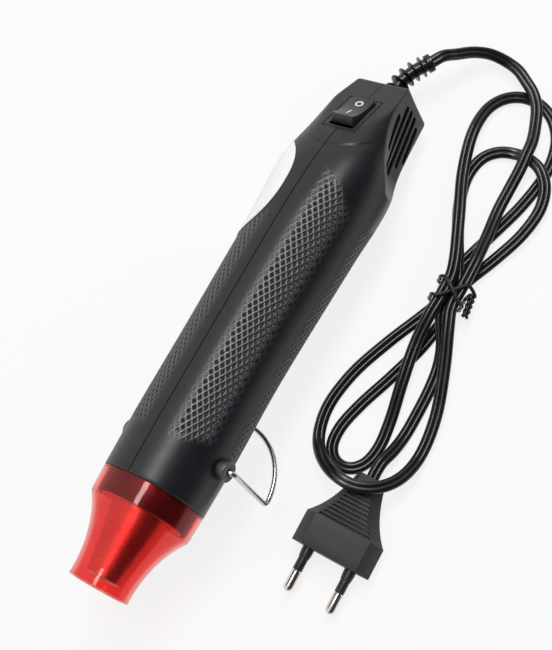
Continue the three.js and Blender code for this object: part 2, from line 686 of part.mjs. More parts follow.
// Rotor, fan and motor, all on the tool's axis
const canRear = MOTOR_AT + MOTOR_LENGTH;
const capFront = canRear - CAP_THICKNESS;
const bearing = SHAFT_RADIUS + SEAT_GAP;
const magnetOuter = MOTOR_RADIUS - CAN_WALL - SEAT_GAP;
const rotorRadius = magnetOuter - MAGNET_THICKNESS - AIR_GAP;
const shaftRear = canRear + SEAT_GAP;

const motorShaft = () => rod(SHAFT_RADIUS, vector(0, FAN_AT - SHAFT_NOSE, 0), vector(0, shaftRear, 0), 12);

function fanImpeller() {
  const hub = solid(tubeRing(bearing, FAN_HUB_RADIUS, FAN_AT, FAN_AT + FAN_LENGTH, 20));
  const blades = Array.from({ length: FAN_BLADES }, (_, k) => {
    const root = FAN_HUB_RADIUS - BLADE_ROOT;
    const blade = new THREE.BoxGeometry(FAN_RADIUS - root, FAN_LENGTH, BLADE_THICKNESS);
    blade.rotateX(radians(FAN_PITCH));
    blade.translate((FAN_RADIUS + root) / 2, FAN_AT + FAN_LENGTH / 2, 0);
    return solid(blade.rotateY((2 * Math.PI * k) / FAN_BLADES));
  });
  return shape(join(hub, ...blades));
}

function motorRotor() {
  const [front, rear] = [MOTOR_AT + CAN_WALL + ROTOR_END_ROOM, capFront - ROTOR_END_ROOM];
  const drum = solid(tubeRing(bearing, rotorRadius, front, rear, 30));
  const slots = [0, 1, 2].map((k) => {
    const half = ROTOR_SLOT / 2;
    const slot = block(rotorRadius / 2, 2 * rotorRadius, front - OVERCUT, rear + OVERCUT, -half, half);
    return solid(slot.rotateY((2 * Math.PI * k) / 3));
  });
  return shape(cut(drum, ...slots));
}

function motorCan() {
  const wall = MOTOR_RADIUS - CAN_WALL;
  return turned([
    [bearing, MOTOR_AT], [MOTOR_RADIUS, MOTOR_AT], [MOTOR_RADIUS, canRear], [wall, canRear],
    [wall, MOTOR_AT + CAN_WALL], [bearing, MOTOR_AT + CAN_WALL],
  ], 28);
}

const motorEndCap = () => tubeRing(bearing, MOTOR_RADIUS - CAN_WALL - SEAT_GAP, capFront, canRear, 30);

function motorMagnets() {
  const front = MOTOR_AT + CAN_WALL + MAGNET_END_ROOM;
  const depth = capFront - MAGNET_END_ROOM - front;
  return [90, 270].map((middle) => {
    const outline = new THREE.Shape();
    const [first, last] = [radians(middle - MAGNET_ARC / 2), radians(middle + MAGNET_ARC / 2)];
    outline.absarc(0, 0, magnetOuter, first, last, false);
    outline.absarc(0, 0, magnetOuter - MAGNET_THICKNESS, last, first, true);
    const arc = new THREE.ExtrudeGeometry(outline, { depth, curveSegments: 10, bevelEnabled: false });
    return arc.rotateX(-Math.PI / 2).translate(0, front, 0);
  });
}

function motorMount() {
  const [front, rear] = [MOUNT_AT, MOUNT_AT + MOUNT_LENGTH];
  const inner = MOTOR_RADIUS + SEAT_GAP;
  const reach = bodyRadius(MOUNT_AT) - WALL - SEAT_GAP;
  const ring = solid(tubeRing(inner, inner + MOUNT_WALL, front, rear, 36));
  const ribs = [45, 135, 225, 315].map((angle) => {
    const rib = block(inner + MOUNT_WALL / 2, reach, front, rear, -MOUNT_RIB / 2, MOUNT_RIB / 2);
    return solid(rib.rotateY(radians(angle)));
  });
  return shape(join(ring, ...ribs));
}

const boardFront = canRear + SEAT_GAP + TERMINAL_LENGTH + SEAT_GAP;
const boardRear = boardFront + BOARD_THICKNESS;

function motorTerminals() {
  const [front, rear] = [canRear + SEAT_GAP, canRear + SEAT_GAP + TERMINAL_LENGTH];
  const [wide, thick] = [TERMINAL_WIDTH / 2, TERMINAL_THICKNESS / 2];
  return [TERMINAL_SPREAD, -TERMINAL_SPREAD].map((x) =>
    block(x - wide, x + wide, front, rear, -thick, thick));
}

const rectifierBoard = () => rod(BOARD_RADIUS, vector(0, boardFront, 0), vector(0, boardRear, 0), 28);

function rectifierDiodes() {
  const y = boardRear + SEAT_GAP + DIODE_RADIUS;
  return Array.from({ length: DIODE_COUNT }, (_, k) => {
    const x = (k - (DIODE_COUNT - 1) / 2) * DIODE_PITCH;
    return rod(DIODE_RADIUS, vector(x, y, -DIODE_LENGTH / 2), vector(x, y, DIODE_LENGTH / 2), 10);
  });
}

// Switch and its rocker
function switchBody() {
  const flange = block(-FLANGE_WIDTH / 2, FLANGE_WIDTH / 2, -FLANGE_LENGTH / 2, FLANGE_LENGTH / 2,
    -FLANGE_THICKNESS, 0);
  const box = block(-SWITCH_WIDTH / 2, SWITCH_WIDTH / 2, -SWITCH_LENGTH / 2, SWITCH_LENGTH / 2,
    -SWITCH_DEPTH, -FLANGE_THICKNESS / 2);
  const [wide, long] = [ROCKER_WIDTH / 2 + SEAT_GAP, ROCKER_LENGTH / 2 + ROCKER_SWING_ROOM];
  const pocket = block(-wide, wide, -long, long, -POCKET_DEPTH, WALL);
  return onPanel(shape(cut(join(solid(flange), solid(box)), solid(pocket))));
}

function rockerButton() {
  const half = ROCKER_LENGTH / 2;
  const outline = new THREE.Shape();
  outline.moveTo(-half, ROCKER_END_HEIGHT);
  outline.lineTo(-half, -ROCKER_PIVOT_DEPTH / 2);
  outline.quadraticCurveTo(-half / 2, -ROCKER_DEPTH, 0, -ROCKER_DEPTH);
  outline.quadraticCurveTo(half / 2, -ROCKER_DEPTH, half, -ROCKER_PIVOT_DEPTH / 2);
  outline.lineTo(half, ROCKER_END_HEIGHT);
  outline.quadraticCurveTo(half / 2, ROCKER_MIDDLE_HEIGHT, 0, ROCKER_MIDDLE_HEIGHT);
  outline.quadraticCurveTo(-half / 2, ROCKER_MIDDLE_HEIGHT, -half, ROCKER_END_HEIGHT);
  const geometry = new THREE.ExtrudeGeometry(outline, {
    depth: ROCKER_WIDTH, curveSegments: 6, bevelEnabled: false,
  });
  geometry.translate(0, 0, -ROCKER_WIDTH / 2).rotateY(Math.PI / 2).rotateX(Math.PI / 2);
  geometry.translate(0, 0, ROCKER_PIVOT_DEPTH).rotateX(-radians(ROCKER_TILT));
  return onPanel(geometry.translate(0, 0, -ROCKER_PIVOT_DEPTH));
}

const bladePlaces = [-BLADE_SPREAD, BLADE_SPREAD];
const bladeEnd = -SWITCH_DEPTH - SEAT_GAP - BLADE_LENGTH;

function switchTerminals() {
  return bladePlaces.map((y) =>
    onPanel(block(-BLADE_WIDTH / 2, BLADE_WIDTH / 2, y - TERMINAL_THICKNESS / 2, y + TERMINAL_THICKNESS / 2,
      bladeEnd, bladeEnd + BLADE_LENGTH)));
}

// Lead inside the head, its clamp and the inner wiring
const coreHeights = [GLAND_HEIGHT + CORD_WIDTH / 4, GLAND_HEIGHT - CORD_WIDTH / 4];

function flatSection(width, thickness) {
  const section = new THREE.Shape();
  const [half, round] = [(width - thickness) / 2, thickness / 2];
  section.absarc(half, 0, round, -Math.PI / 2, Math.PI / 2, false);
  section.absarc(-half, 0, round, Math.PI / 2, (3 * Math.PI) / 2, false);
  return section;
}

function cordTail() {
  const tail = new THREE.ExtrudeGeometry(flatSection(CORD_WIDTH, CORD_THICKNESS), {
    depth: TAIL_LENGTH, curveSegments: 5, bevelEnabled: false,
  });
  return tail.rotateZ(Math.PI / 2).rotateX(-Math.PI / 2).translate(0, tailFront, GLAND_HEIGHT);
}

function cordClamp() {
  const reach = CLAMP_SCREW_SPREAD + CLAMP_HEAD_RADIUS;
  const bar = block(-tailFace - CLAMP_THICKNESS, -tailFace, clampAt, clampAt + CLAMP_LENGTH,
    GLAND_HEIGHT - reach, GLAND_HEIGHT + reach);
  const holes = clampHeights.map((z) => solid(
    acrossRod(CLAMP_SCREW_RADIUS + SEAT_GAP, clampMiddle, z, -2 * CLAMP_THICKNESS - tailFace, 0, 10)));
  return shape(cut(solid(bar), ...holes));
}

function cordClampScrews() {
  const seat = -tailFace - CLAMP_THICKNESS - SEAT_GAP;
  return clampHeights.map((z) => {
    const shank = acrossRod(CLAMP_SCREW_RADIUS, clampMiddle, z, seat, tailFace + SCREW_GRIP / 2, 10);
    const head = acrossRod(CLAMP_HEAD_RADIUS, clampMiddle, z, seat - CLAMP_HEAD_THICKNESS, seat, 14);
    return shape(join(solid(shank), solid(head)));
  });
}

// Inner wires leave and arrive square to what they meet
const bladeTip = (y) => vector(0, y, bladeEnd - SEAT_GAP - LEAD_RADIUS).applyMatrix4(SWITCH_PLACE);
const boardPad = (side) => vector(side * PAD_ACROSS, boardRear + SEAT_GAP, side * PAD_HEIGHT);
const tailCore = (height) => vector(0, tailFront - SEAT_GAP, height);
const onward = (point, [x, y, z]) => point.clone().add(vector(x, y, z));
const besideFlare = ([x, z]) => vector(x, flareAt, z);

function liveLead() {
  const tip = bladeTip(bladePlaces[1]);
  const start = tailCore(coreHeights[0]);
  return wire([start, onward(start, [0, -LEAD_STRAIGHT, 0]), onward(tip, LIVE_BEND), tip], LEAD_RADIUS, 14);
}

function switchedLead() {
  const tip = bladeTip(bladePlaces[0]);
  const pad = boardPad(1);
  return wire([tip, onward(tip, SWITCHED_BEND), besideFlare(SWITCHED_RUN), onward(pad, [0, PAD_RUN, 0]), pad],
    LEAD_RADIUS, 18);
}

function neutralLead() {
  const pad = boardPad(-1);
  const start = tailCore(coreHeights[1]);
  return wire([start, onward(start, [0, -LEAD_STRAIGHT, 0]), onward(start, NEUTRAL_BEND),
    besideFlare(NEUTRAL_RUN), onward(pad, [0, PAD_RUN, 0]), pad], LEAD_RADIUS, 18);
}

function heaterLeads() {
  const run = bodyRadius(FAN_AT) - WALL - SEAT_GAP - LEAD_SLACK - LEAD_RADIUS;
  const holderRear = -HOLDER_FRONT + HOLDER_THICKNESS + SEAT_GAP;
  const spoke = FAN_HUB_RADIUS / 2;
  return [1, -1].map((side) => wire([
    vector(side * (BOARD_RADIUS + SEAT_GAP + LEAD_RADIUS), boardFront, 0),
    vector(side * run, MOUNT_AT + MOUNT_LENGTH, 0),
    vector(side * run, MOUNT_AT, 0),
    vector(side * run, FAN_AT + FAN_LENGTH, 0),
    vector(side * run, FAN_AT - LEAD_RADIUS, 0),
    vector(side * (run + spoke) / 2, FAN_AT / 2, 0),
    vector(side * spoke, holderRear + 3 * LEAD_RADIUS, 0),
    vector(side * spoke, holderRear, 0),
  ], LEAD_RADIUS, 20));
}

// Ribbed guard: a bent sleeve with ribs, a flange inside the rear wall and a thicker tip
const guardStart = vector(0, BODY_LENGTH, GLAND_HEIGHT);
const guardCurve = new THREE.CatmullRomCurve3(
  GUARD_REACH.map(([x, y, z]) => vector(x, y, z).add(guardStart)), false, 'centripetal');

function guardDisc(t, radius, thickness) {
  const at = guardCurve.getPointAt(t);
  const along = guardCurve.getTangentAt(t).multiplyScalar(thickness / 2);
  return solid(rod(radius, at.clone().sub(along), at.clone().add(along), 10));
}

function strainRelief() {
  const flange = rod(GLAND_FLANGE_RADIUS, vector(0, flangeFront, GLAND_HEIGHT),
    vector(0, flangeFront + GLAND_FLANGE, GLAND_HEIGHT), 20);
  const neck = rod(GLAND_RADIUS, vector(0, flangeFront, GLAND_HEIGHT),
    vector(0, BODY_LENGTH + SEAT_GAP + WALL, GLAND_HEIGHT), 20);
  const sleeve = sweep(roundSection(GUARD_RADIUS, 10), guardCurve, 10);
  const ribs = Array.from({ length: GUARD_RIBS }, (_, k) =>
    guardDisc(THREE.MathUtils.lerp(GUARD_FIRST_RIB, GUARD_LAST_RIB, k / (GUARD_RIBS - 1)), GUARD_RIB_RADIUS,
      GUARD_RIB_THICKNESS));
  const length = guardCurve.getLength();
  const tip = guardDisc(1 - GUARD_TIP_LENGTH / 2 / length, GUARD_TIP_RADIUS, GUARD_TIP_LENGTH);
  return shape(join(solid(flange), solid(neck), solid(sleeve), ...ribs, tip));
}

// Wire stand: pins in the bosses, straight legs and a half round foot
function wireStand() {
  const [wide, low] = [STAND_HALF_WIDTH, -STAND_LEG];
  const pinEnd = STAND_BOSS_END - STAND_HOLE_DEPTH + SEAT_GAP;
  const path = new THREE.CurvePath();
  const place = (x, y, z) => vector(x, STAND_AT + y, z);
  const foot = (angle) => place(wide * Math.cos(angle), wide * Math.sin(angle), low);
  const bend = STAND_BEND / wide;
  class Foot extends THREE.Curve {
    getPoint(t) {
      return foot(THREE.MathUtils.lerp(bend, Math.PI - bend, t));
    }
  }
  const leg = (side) => [
    new THREE.LineCurve3(place(side * pinEnd, 0, 0), place(side * (wide - STAND_BEND), 0, 0)),
    new THREE.QuadraticBezierCurve3(place(side * (wide - STAND_BEND), 0, 0), place(side * wide, 0, 0),
      place(side * wide, 0, -STAND_BEND)),
    new THREE.LineCurve3(place(side * wide, 0, -STAND_BEND), place(side * wide, 0, low + STAND_BEND)),
    new THREE.QuadraticBezierCurve3(place(side * wide, 0, low + STAND_BEND), place(side * wide, 0, low),
      foot(side > 0 ? bend : Math.PI - bend)),
  ];
  leg(1).forEach((piece) => path.add(piece));
  path.add(new Foot());
  const back = (piece) => (piece.v1 && piece.v0
    ? new THREE.QuadraticBezierCurve3(piece.v2, piece.v1, piece.v0)
    : new THREE.LineCurve3(piece.v2, piece.v1));
  leg(-1).reverse().forEach((piece) => path.add(back(piece)));
  return sweep(roundSection(STAND_WIRE_RADIUS, 8), path, 72);
}

function housingScrews() {
  const seat = -SCREW_HEAD_FROM_PARTING - SEAT_GAP;
  return screwPlaces.map(([y, z]) => {
    const shank = acrossRod(SCREW_RADIUS, y, z, seat, SCREW_GRIP, 10);
    const head = acrossRod(SCREW_HEAD_RADIUS, y, z, seat - SCREW_HEAD_THICKNESS, seat, 14);
    return shape(join(solid(shank), solid(head)));
  });
}

// Blank label laid on the left of the neck
function ratingLabel() {
  const [rows, columns] = [10, 14];
  const points = [];
  const index = [];
  for (const lift of [SEAT_GAP, SEAT_GAP + LABEL_THICKNESS]) {
    for (let i = 0; i <= rows; i += 1) {
      const along = LABEL_END * Math.sin((i / rows - 0.5) * Math.PI);
      const y = fromRear(LABEL_FROM_REAR) + LABEL_HALF_LENGTH * along;
      const width = (1 - Math.abs(along) ** LABEL_FULLNESS) ** (1 / LABEL_FULLNESS);
      for (let j = 0; j <= columns; j += 1) {
        const angle = radians(LABEL_ANGLE + LABEL_HALF_ANGLE * width * (2 * j / columns - 1));
        const reach = skinReach(y, angle, 0) + lift;
        points.push(-reach * Math.sin(angle), y, -bodyDrop(y) + reach * Math.cos(angle));
      }
    }
  }
  const at = (layer, i, j) => layer * (rows + 1) * (columns + 1) + i * (columns + 1) + j;
  const quad = (a, b, c, d) => index.push(a, b, c, a, c, d);
  for (let i = 0; i < rows; i += 1) {
    for (let j = 0; j < columns; j += 1) {
      quad(at(0, i, j), at(0, i + 1, j), at(0, i + 1, j + 1), at(0, i, j + 1));
      quad(at(1, i, j), at(1, i, j + 1), at(1, i + 1, j + 1), at(1, i + 1, j));
    }
    quad(at(0, i, 0), at(1, i, 0), at(1, i + 1, 0), at(0, i + 1, 0));
    quad(at(0, i, columns), at(0, i + 1, columns), at(1, i + 1, columns), at(1, i, columns));
  }
  for (let j = 0; j < columns; j += 1) {
    quad(at(0, 0, j), at(0, 0, j + 1), at(1, 0, j + 1), at(1, 0, j));
    quad(at(0, rows, j), at(1, rows, j), at(1, rows, j + 1), at(0, rows, j + 1));
  }
  const geometry = new THREE.BufferGeometry();
  geometry.setAttribute('position', new THREE.BufferAttribute(new Float32Array(points), 3));
  geometry.setIndex(index);
  return geometry;
}

// One loop of the figure of eight, from one strand's place in the tie to the next
function loopPoints({ reach, halfWidth, lean, fullness, heights }, [fromAcross], [toAcross]) {
  const away = (turn) => (1 - Math.cos(turn)) / 2;
  const swell = (turn) => Math.sin(turn) * away(turn) ** fullness;
  const widest = 2 * Math.atan(Math.sqrt(1 + 2 * fullness));
  return heights.map((height, k) => {
    const even = (2 * Math.PI * k) / (heights.length - 1);
    const turn = even + LOOP_CROWDING * Math.sin(even);
    const shift = (turn - Math.sin(turn)) / (2 * Math.PI);
    const middle = THREE.MathUtils.lerp(fromAcross, toAcross, shift) + lean * away(turn);
    const across = middle + (halfWidth * swell(turn)) / swell(widest);
    const along = Math.sign(reach) * TIE_HALF_LENGTH + reach * away(turn);
    return vector(TIE_PLACE[0] + across, TIE_PLACE[1] + along, height);
  });
}

// A path whose sections stay level, so that a flat lead lies flat
class LevelPath extends THREE.CatmullRomCurve3 {
  computeFrenetFrames(steps) {
    const up = vector(0, 0, 1);
    const tangents = Array.from({ length: steps + 1 }, (_, k) => this.getTangentAt(k / steps));
    const normals = tangents.map((along) => along.clone().cross(up).normalize());
    const binormals = tangents.map((along, k) => normals[k].clone().cross(along));
    return { tangents, normals, binormals };
  }
}

function cordPath(guardEnd, guardAlong) {
  const away = (distance) => guardAlong.clone().multiplyScalar(distance).add(guardEnd);
  const strand = ([across, height], side) =>
    vector(TIE_PLACE[0] + across, TIE_PLACE[1] + side * TIE_HALF_LENGTH, height);
  const plugTail = vector(...PLUG_PLACE).add(vector(0, PLUG_LENGTH + SEAT_GAP, 0));
  const points = [
    away(SEAT_GAP),
    away(CORD_WIDTH),
    ...FREE_STRETCH.map((point) => vector(...point)),
    strand(STRANDS[0], 1),
    ...LOOPS.flatMap((loop, k) => loopPoints(loop, STRANDS[k], STRANDS[k + 1])),
    strand(STRANDS[STRANDS.length - 1], -1),
    ...PLUG_STRETCH.map((point) => vector(...point)),
    plugTail,
  ];
  const path = new LevelPath(points, false, 'centripetal');
  path.arcLengthDivisions = 20 * points.length;
  return path;
}

// Least gap of the lead to itself, between the middles of its two cores
function leastSelfGap(path) {
  const length = path.getLength();
  const apart = 3 * CORD_WIDTH;
  const { normals } = path.computeFrenetFrames(2 * CORD_STEPS);
  const offset = (CORD_WIDTH - CORD_THICKNESS) / 2;
  const cores = path.getSpacedPoints(2 * CORD_STEPS).map((point, k) =>
    [-offset, 0, offset].map((reach) => point.clone().addScaledVector(normals[k], reach)));
  const spacing = length / (2 * CORD_STEPS);
  let least = length;
  for (let i = 0; i < cores.length; i += 1) {
    for (let j = i + Math.ceil(apart / spacing); j < cores.length; j += 1) {
      if (cores[i][1].distanceTo(cores[j][1]) > 2 * CORD_WIDTH) continue;
      for (const a of cores[i]) for (const b of cores[j]) least = Math.min(least, a.distanceTo(b));
    }
  }
  return least - CORD_THICKNESS;
}

// Wire tie: once round the strands, with two free ends on the right
function twistTie() {
  const room = SEAT_GAP + TIE_WIRE_RADIUS;
  const half = STRAND_SPREAD + CORD_WIDTH / 2 + room;
  const low = LOW_STRAND - CORD_THICKNESS / 2 - room;
  const high = HIGH_STRAND + CORD_THICKNESS / 2 + room;
  const corner = 3 * TIE_WIRE_RADIUS;
  const ring = [
    [half - corner, high], [corner - half, high], [-half, high - corner], [-half, low + corner],
    [corner - half, low], [half - corner, low], [half, low + corner], [half, high - corner],
  ];
  const freeEnd = ([across, along, rise]) => [half + across, along, high + rise];
  const route = [
    ...TIE_FIRST_END.map(freeEnd),
    ...ring.map(([x, z], k) => [x, THREE.MathUtils.lerp(TIE_START, TIE_FINISH, k / (ring.length - 1)), z]),
    ...TIE_LAST_END.map(freeEnd),
  ];
  const points = route.map(([x, y, z]) => vector(TIE_PLACE[0] + x, TIE_PLACE[1] + y, z));
  return wire(points, TIE_WIRE_RADIUS, 40, 6);
}

// Plug in its own frame: y = 0 is its face, y runs to its tail, z is up from its middle
function extruded(outline, depth, curveSegments = 6) {
  const geometry = new THREE.ExtrudeGeometry(outline, { depth, curveSegments, bevelEnabled: false });
  return geometry.translate(0, 0, -depth / 2);
}

function taperedOutline(half, neck, tail, corner) {
  const side = new THREE.Path();
  side.moveTo(half - corner, 0);
  side.quadraticCurveTo(half, 0, half, corner);
  side.lineTo(half, PLUG_STRAIGHT);
  side.quadraticCurveTo(neck, PLUG_NECK_AT, tail, PLUG_LENGTH);
  const right = side.getPoints(6);
  const left = right.map(({ x, y }) => new THREE.Vector2(-x, y)).reverse();
  return new THREE.Shape([...right, ...left]);
}

function tailHalfThickness(y) {
  const t = (y - PLUG_STRAIGHT) / (PLUG_LENGTH - PLUG_STRAIGHT);
  return THREE.MathUtils.lerp(PLUG_NECK_HALF_THICKNESS, PLUG_TAIL_HALF_THICKNESS, t);
}

function plugBody() {
  const plan = taperedOutline(PLUG_HALF_WIDTH, PLUG_NECK_HALF_WIDTH, PLUG_TAIL_HALF_WIDTH, PLUG_EDGE);
  const profile = taperedOutline(PLUG_HALF_THICKNESS, PLUG_NECK_HALF_THICKNESS, PLUG_TAIL_HALF_THICKNESS,
    PLUG_EDGE / 2);
  const upperHalf = [
    [PLUG_HALF_WIDTH, PLUG_EDGE / 2], [PLUG_FACE_HALF_WIDTH, PLUG_HALF_THICKNESS],
    [-PLUG_FACE_HALF_WIDTH, PLUG_HALF_THICKNESS], [-PLUG_HALF_WIDTH, PLUG_EDGE / 2],
  ];
  const lowerHalf = upperHalf.map(([x, z]) => [-x, -z]);
  const face = new THREE.Shape([...upperHalf, ...lowerHalf].map(([x, z]) => new THREE.Vector2(x, z)));
  const body = solid(extruded(plan, 2 * PLUG_HALF_THICKNESS))
    .intersect(solid(extruded(profile, 2 * PLUG_HALF_WIDTH).rotateY(Math.PI / 2)))
    .intersect(solid(extruded(face, 2 * PLUG_LENGTH).rotateX(Math.PI / 2)));
  const grooves = Array.from({ length: PLUG_GROOVES }, (_, k) => {
    const y = PLUG_GROOVES_AT + k * PLUG_GROOVE_PITCH;
    const floor = tailHalfThickness(y) - PLUG_GROOVE_DEPTH;
    const wide = PLUG_HALF_WIDTH;
    return [1, -1].map((side) => solid(block(-wide, wide, y, y + PLUG_GROOVE_WIDTH,
      Math.min(side * floor, side * wide), Math.max(side * floor, side * wide))));
  });
  const sockets = [1, -1].map((side) => solid(rod(PIN_CORE_RADIUS + SEAT_GAP,
    vector(side * PIN_SPREAD, -OVERCUT, 0), vector(side * PIN_SPREAD, PIN_ROOT + SEAT_GAP, 0), 14)));
  return shape(cut(body, ...grooves.flat(), ...sockets));
}

// Pins and their sleeves, turned about the tool's y direction and shifted sideways
function plugPin(side) {
  const [shoulder, end] = [-SLEEVE_LENGTH - SEAT_GAP, -PIN_LENGTH];
  const roundEnd = [0, 30, 60, 90].map(radians).map((angle) =>
    [PIN_RADIUS * Math.cos(angle), end + PIN_RADIUS * (1 - Math.sin(angle))]);
  const pin = turned([
    [0, PIN_ROOT], [PIN_CORE_RADIUS, PIN_ROOT], [PIN_CORE_RADIUS, shoulder], [PIN_RADIUS, shoulder],
    ...roundEnd,
  ], 16);
  return pin.translate(side * PIN_SPREAD, 0, 0);
}

function pinSleeve(side) {
  const bore = PIN_CORE_RADIUS + SEAT_GAP;
  const collarEnd = -SEAT_GAP - SLEEVE_COLLAR_LENGTH;
  const sleeve = turned([
    [bore, -SEAT_GAP], [SLEEVE_COLLAR_RADIUS, -SEAT_GAP], [SLEEVE_COLLAR_RADIUS, collarEnd],
    [PIN_RADIUS, collarEnd], [PIN_RADIUS, -SLEEVE_LENGTH], [bore, -SLEEVE_LENGTH],
  ], 16);
  return sleeve.translate(side * PIN_SPREAD, 0, 0);
}

function add(parent, name, geometry, look) {
  const mesh = new THREE.Mesh(closed(geometry), look);
  mesh.name = name;
  parent.add(mesh);
}

function addAll(parent, names, geometries, look) {
  names.forEach((name, k) => add(parent, name, geometries[k], look));
}

const numbered = (name, count) => Array.from({ length: count }, (_, k) => `${name}_${k + 1}`);

// The tool, in its own frame
const tool = new THREE.Group();
tool.rotation.set(-radians(NOSE_UP), -radians(ROLL), 0);
add(tool, 'housing_right', housingHalf(1), BLACK_PLASTIC);
add(tool, 'housing_left', housingHalf(-1), BLACK_PLASTIC);
add(tool, 'nozzle_shroud', nozzleShroud(), RED_CLEAR);
add(tool, 'heat_tube', heatTube(), BARE_STEEL);
add(tool, 'mica_liner', micaLiner(), MICA);
add(tool, 'mica_plate_cross', micaPlate(true), MICA);
add(tool, 'mica_plate_upright', micaPlate(false).rotateY(Math.PI / 2), MICA);
add(tool, 'heater_coil', heaterCoil(), COIL_WIRE);
add(tool, 'heater_holder', heaterHolder(), CERAMIC);
add(tool, 'thermal_cutout', thermalCutout(), WHITE_PLASTIC);
addAll(tool, ['heater_lead_right', 'heater_lead_left'], heaterLeads(), LEAD_RED);
add(tool, 'motor_shaft', motorShaft(), BARE_STEEL);
add(tool, 'fan_impeller', fanImpeller(), WHITE_PLASTIC);
add(tool, 'motor_rotor', motorRotor(), COIL_WIRE);
add(tool, 'motor_can', motorCan(), BARE_STEEL);
addAll(tool, ['motor_magnet_lower', 'motor_magnet_upper'], motorMagnets(), MAGNET);
add(tool, 'motor_end_cap', motorEndCap(), WHITE_PLASTIC);
addAll(tool, ['motor_terminal_right', 'motor_terminal_left'], motorTerminals(), BRASS);
add(tool, 'motor_mount', motorMount(), BLACK_PLASTIC);
add(tool, 'rectifier_board', rectifierBoard(), BOARD_GREEN);
addAll(tool, numbered('rectifier_diode', 4), rectifierDiodes(), BLACK_GLOSS);
add(tool, 'switch_body', switchBody(), BLACK_PLASTIC);
add(tool, 'rocker_button', rockerButton(), BLACK_GLOSS);
addAll(tool, ['switch_terminal_front', 'switch_terminal_rear'], switchTerminals(), BRASS);
add(tool, 'live_lead', liveLead(), LEAD_RED);
add(tool, 'switched_lead', switchedLead(), LEAD_RED);
add(tool, 'neutral_lead', neutralLead(), LEAD_BLUE);
add(tool, 'cord_tail', cordTail(), BLACK_GLOSS);
add(tool, 'cord_clamp', cordClamp(), BLACK_PLASTIC);
addAll(tool, ['cord_clamp_screw_upper', 'cord_clamp_screw_lower'], cordClampScrews(), NICKEL);
add(tool, 'strain_relief', strainRelief(), BLACK_PLASTIC);
add(tool, 'wire_stand', wireStand(), BARE_STEEL);
addAll(tool, numbered('housing_screw', screwPlaces.length), housingScrews(), NICKEL);
add(tool, 'rating_label', ratingLabel(), PAPER);

// The tool stands with the middle of its box over the origin
const box = new THREE.Box3().setFromObject(tool, true);
tool.position.set(-(box.min.x + box.max.x) / 2, -(box.min.y + box.max.y) / 2, -box.min.z);

const model = new THREE.Group();
model.add(tool);
model.updateMatrixWorld(true);

// The lead and what is on it, on the table
const guardEnd = tool.localToWorld(guardCurve.getPointAt(1));
const guardAlong = guardCurve.getTangentAt(1).transformDirection(tool.matrixWorld);
const leadPath = cordPath(guardEnd, guardAlong);
console.log('least gap of the lead to itself, mm:', leastSelfGap(leadPath).toFixed(2));
console.log('length of the lead, mm:', leadPath.getLength().toFixed(0));
add(model, 'power_cord', sweep(flatSection(CORD_WIDTH, CORD_THICKNESS), leadPath, CORD_STEPS), BLACK_GLOSS);
add(model, 'twist_tie', twistTie(), BLACK_PLASTIC);

const plug = new THREE.Group();
plug.position.set(...PLUG_PLACE);
add(plug, 'plug_body', plugBody(), BLACK_PLASTIC);
addAll(plug, ['plug_pin_right', 'plug_pin_left'], [plugPin(1), plugPin(-1)], NICKEL);
addAll(plug, ['pin_sleeve_right', 'pin_sleeve_left'], [pinSleeve(1), pinSleeve(-1)], BLACK_GLOSS);
model.add(plug);
model.updateMatrixWorld(true);

export default model;
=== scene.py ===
# The hot air tool as it looks: fine surfaces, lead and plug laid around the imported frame.
import json
import math

import bmesh
import bpy
import numpy as np
from mathutils import Matrix, Vector


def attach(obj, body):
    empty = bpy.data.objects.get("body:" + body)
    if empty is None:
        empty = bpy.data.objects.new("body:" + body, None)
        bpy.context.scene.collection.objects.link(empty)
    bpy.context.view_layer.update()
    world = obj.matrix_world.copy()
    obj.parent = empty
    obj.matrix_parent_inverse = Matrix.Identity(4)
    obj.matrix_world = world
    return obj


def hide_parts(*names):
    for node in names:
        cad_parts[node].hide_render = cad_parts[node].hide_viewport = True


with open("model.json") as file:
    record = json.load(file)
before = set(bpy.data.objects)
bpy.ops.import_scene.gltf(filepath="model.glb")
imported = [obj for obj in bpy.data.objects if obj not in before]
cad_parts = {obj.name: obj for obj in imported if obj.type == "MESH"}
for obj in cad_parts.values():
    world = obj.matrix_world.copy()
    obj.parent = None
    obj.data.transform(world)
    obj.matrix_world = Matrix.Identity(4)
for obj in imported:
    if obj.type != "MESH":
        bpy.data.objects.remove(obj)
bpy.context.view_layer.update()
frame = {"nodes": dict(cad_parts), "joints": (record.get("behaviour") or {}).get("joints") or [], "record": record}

scene = bpy.context.scene
MM = 0.001

# The tool's own frame, from the joints: x to its right, y to its rear, z up to its switch, in millimetres
JOINTS = {joint["name"]: joint for joint in frame["joints"]}
TOOL_ORIGIN = np.array(JOINTS["rotor_spin"]["pos_m"])
TOOL_RIGHT = np.array(JOINTS["stand_swing"]["axis"])
TOOL_REAR = np.array(JOINTS["rotor_spin"]["axis"])
TOOL_AXES = np.array([TOOL_RIGHT, TOOL_REAR, np.cross(TOOL_RIGHT, TOOL_REAR)])

# Camera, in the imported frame, set to the photograph's view
IMAGE_LONG_SIDE = 650
FOCAL_PIXELS = 1290
SENSOR = 36
CAMERA_PLACE = (48.8, -94.57, 523.86)
CAMERA_RIGHT = (0.87825, 0.47819, 0)
CAMERA_UP = (-0.46859, 0.86062, 0.19937)

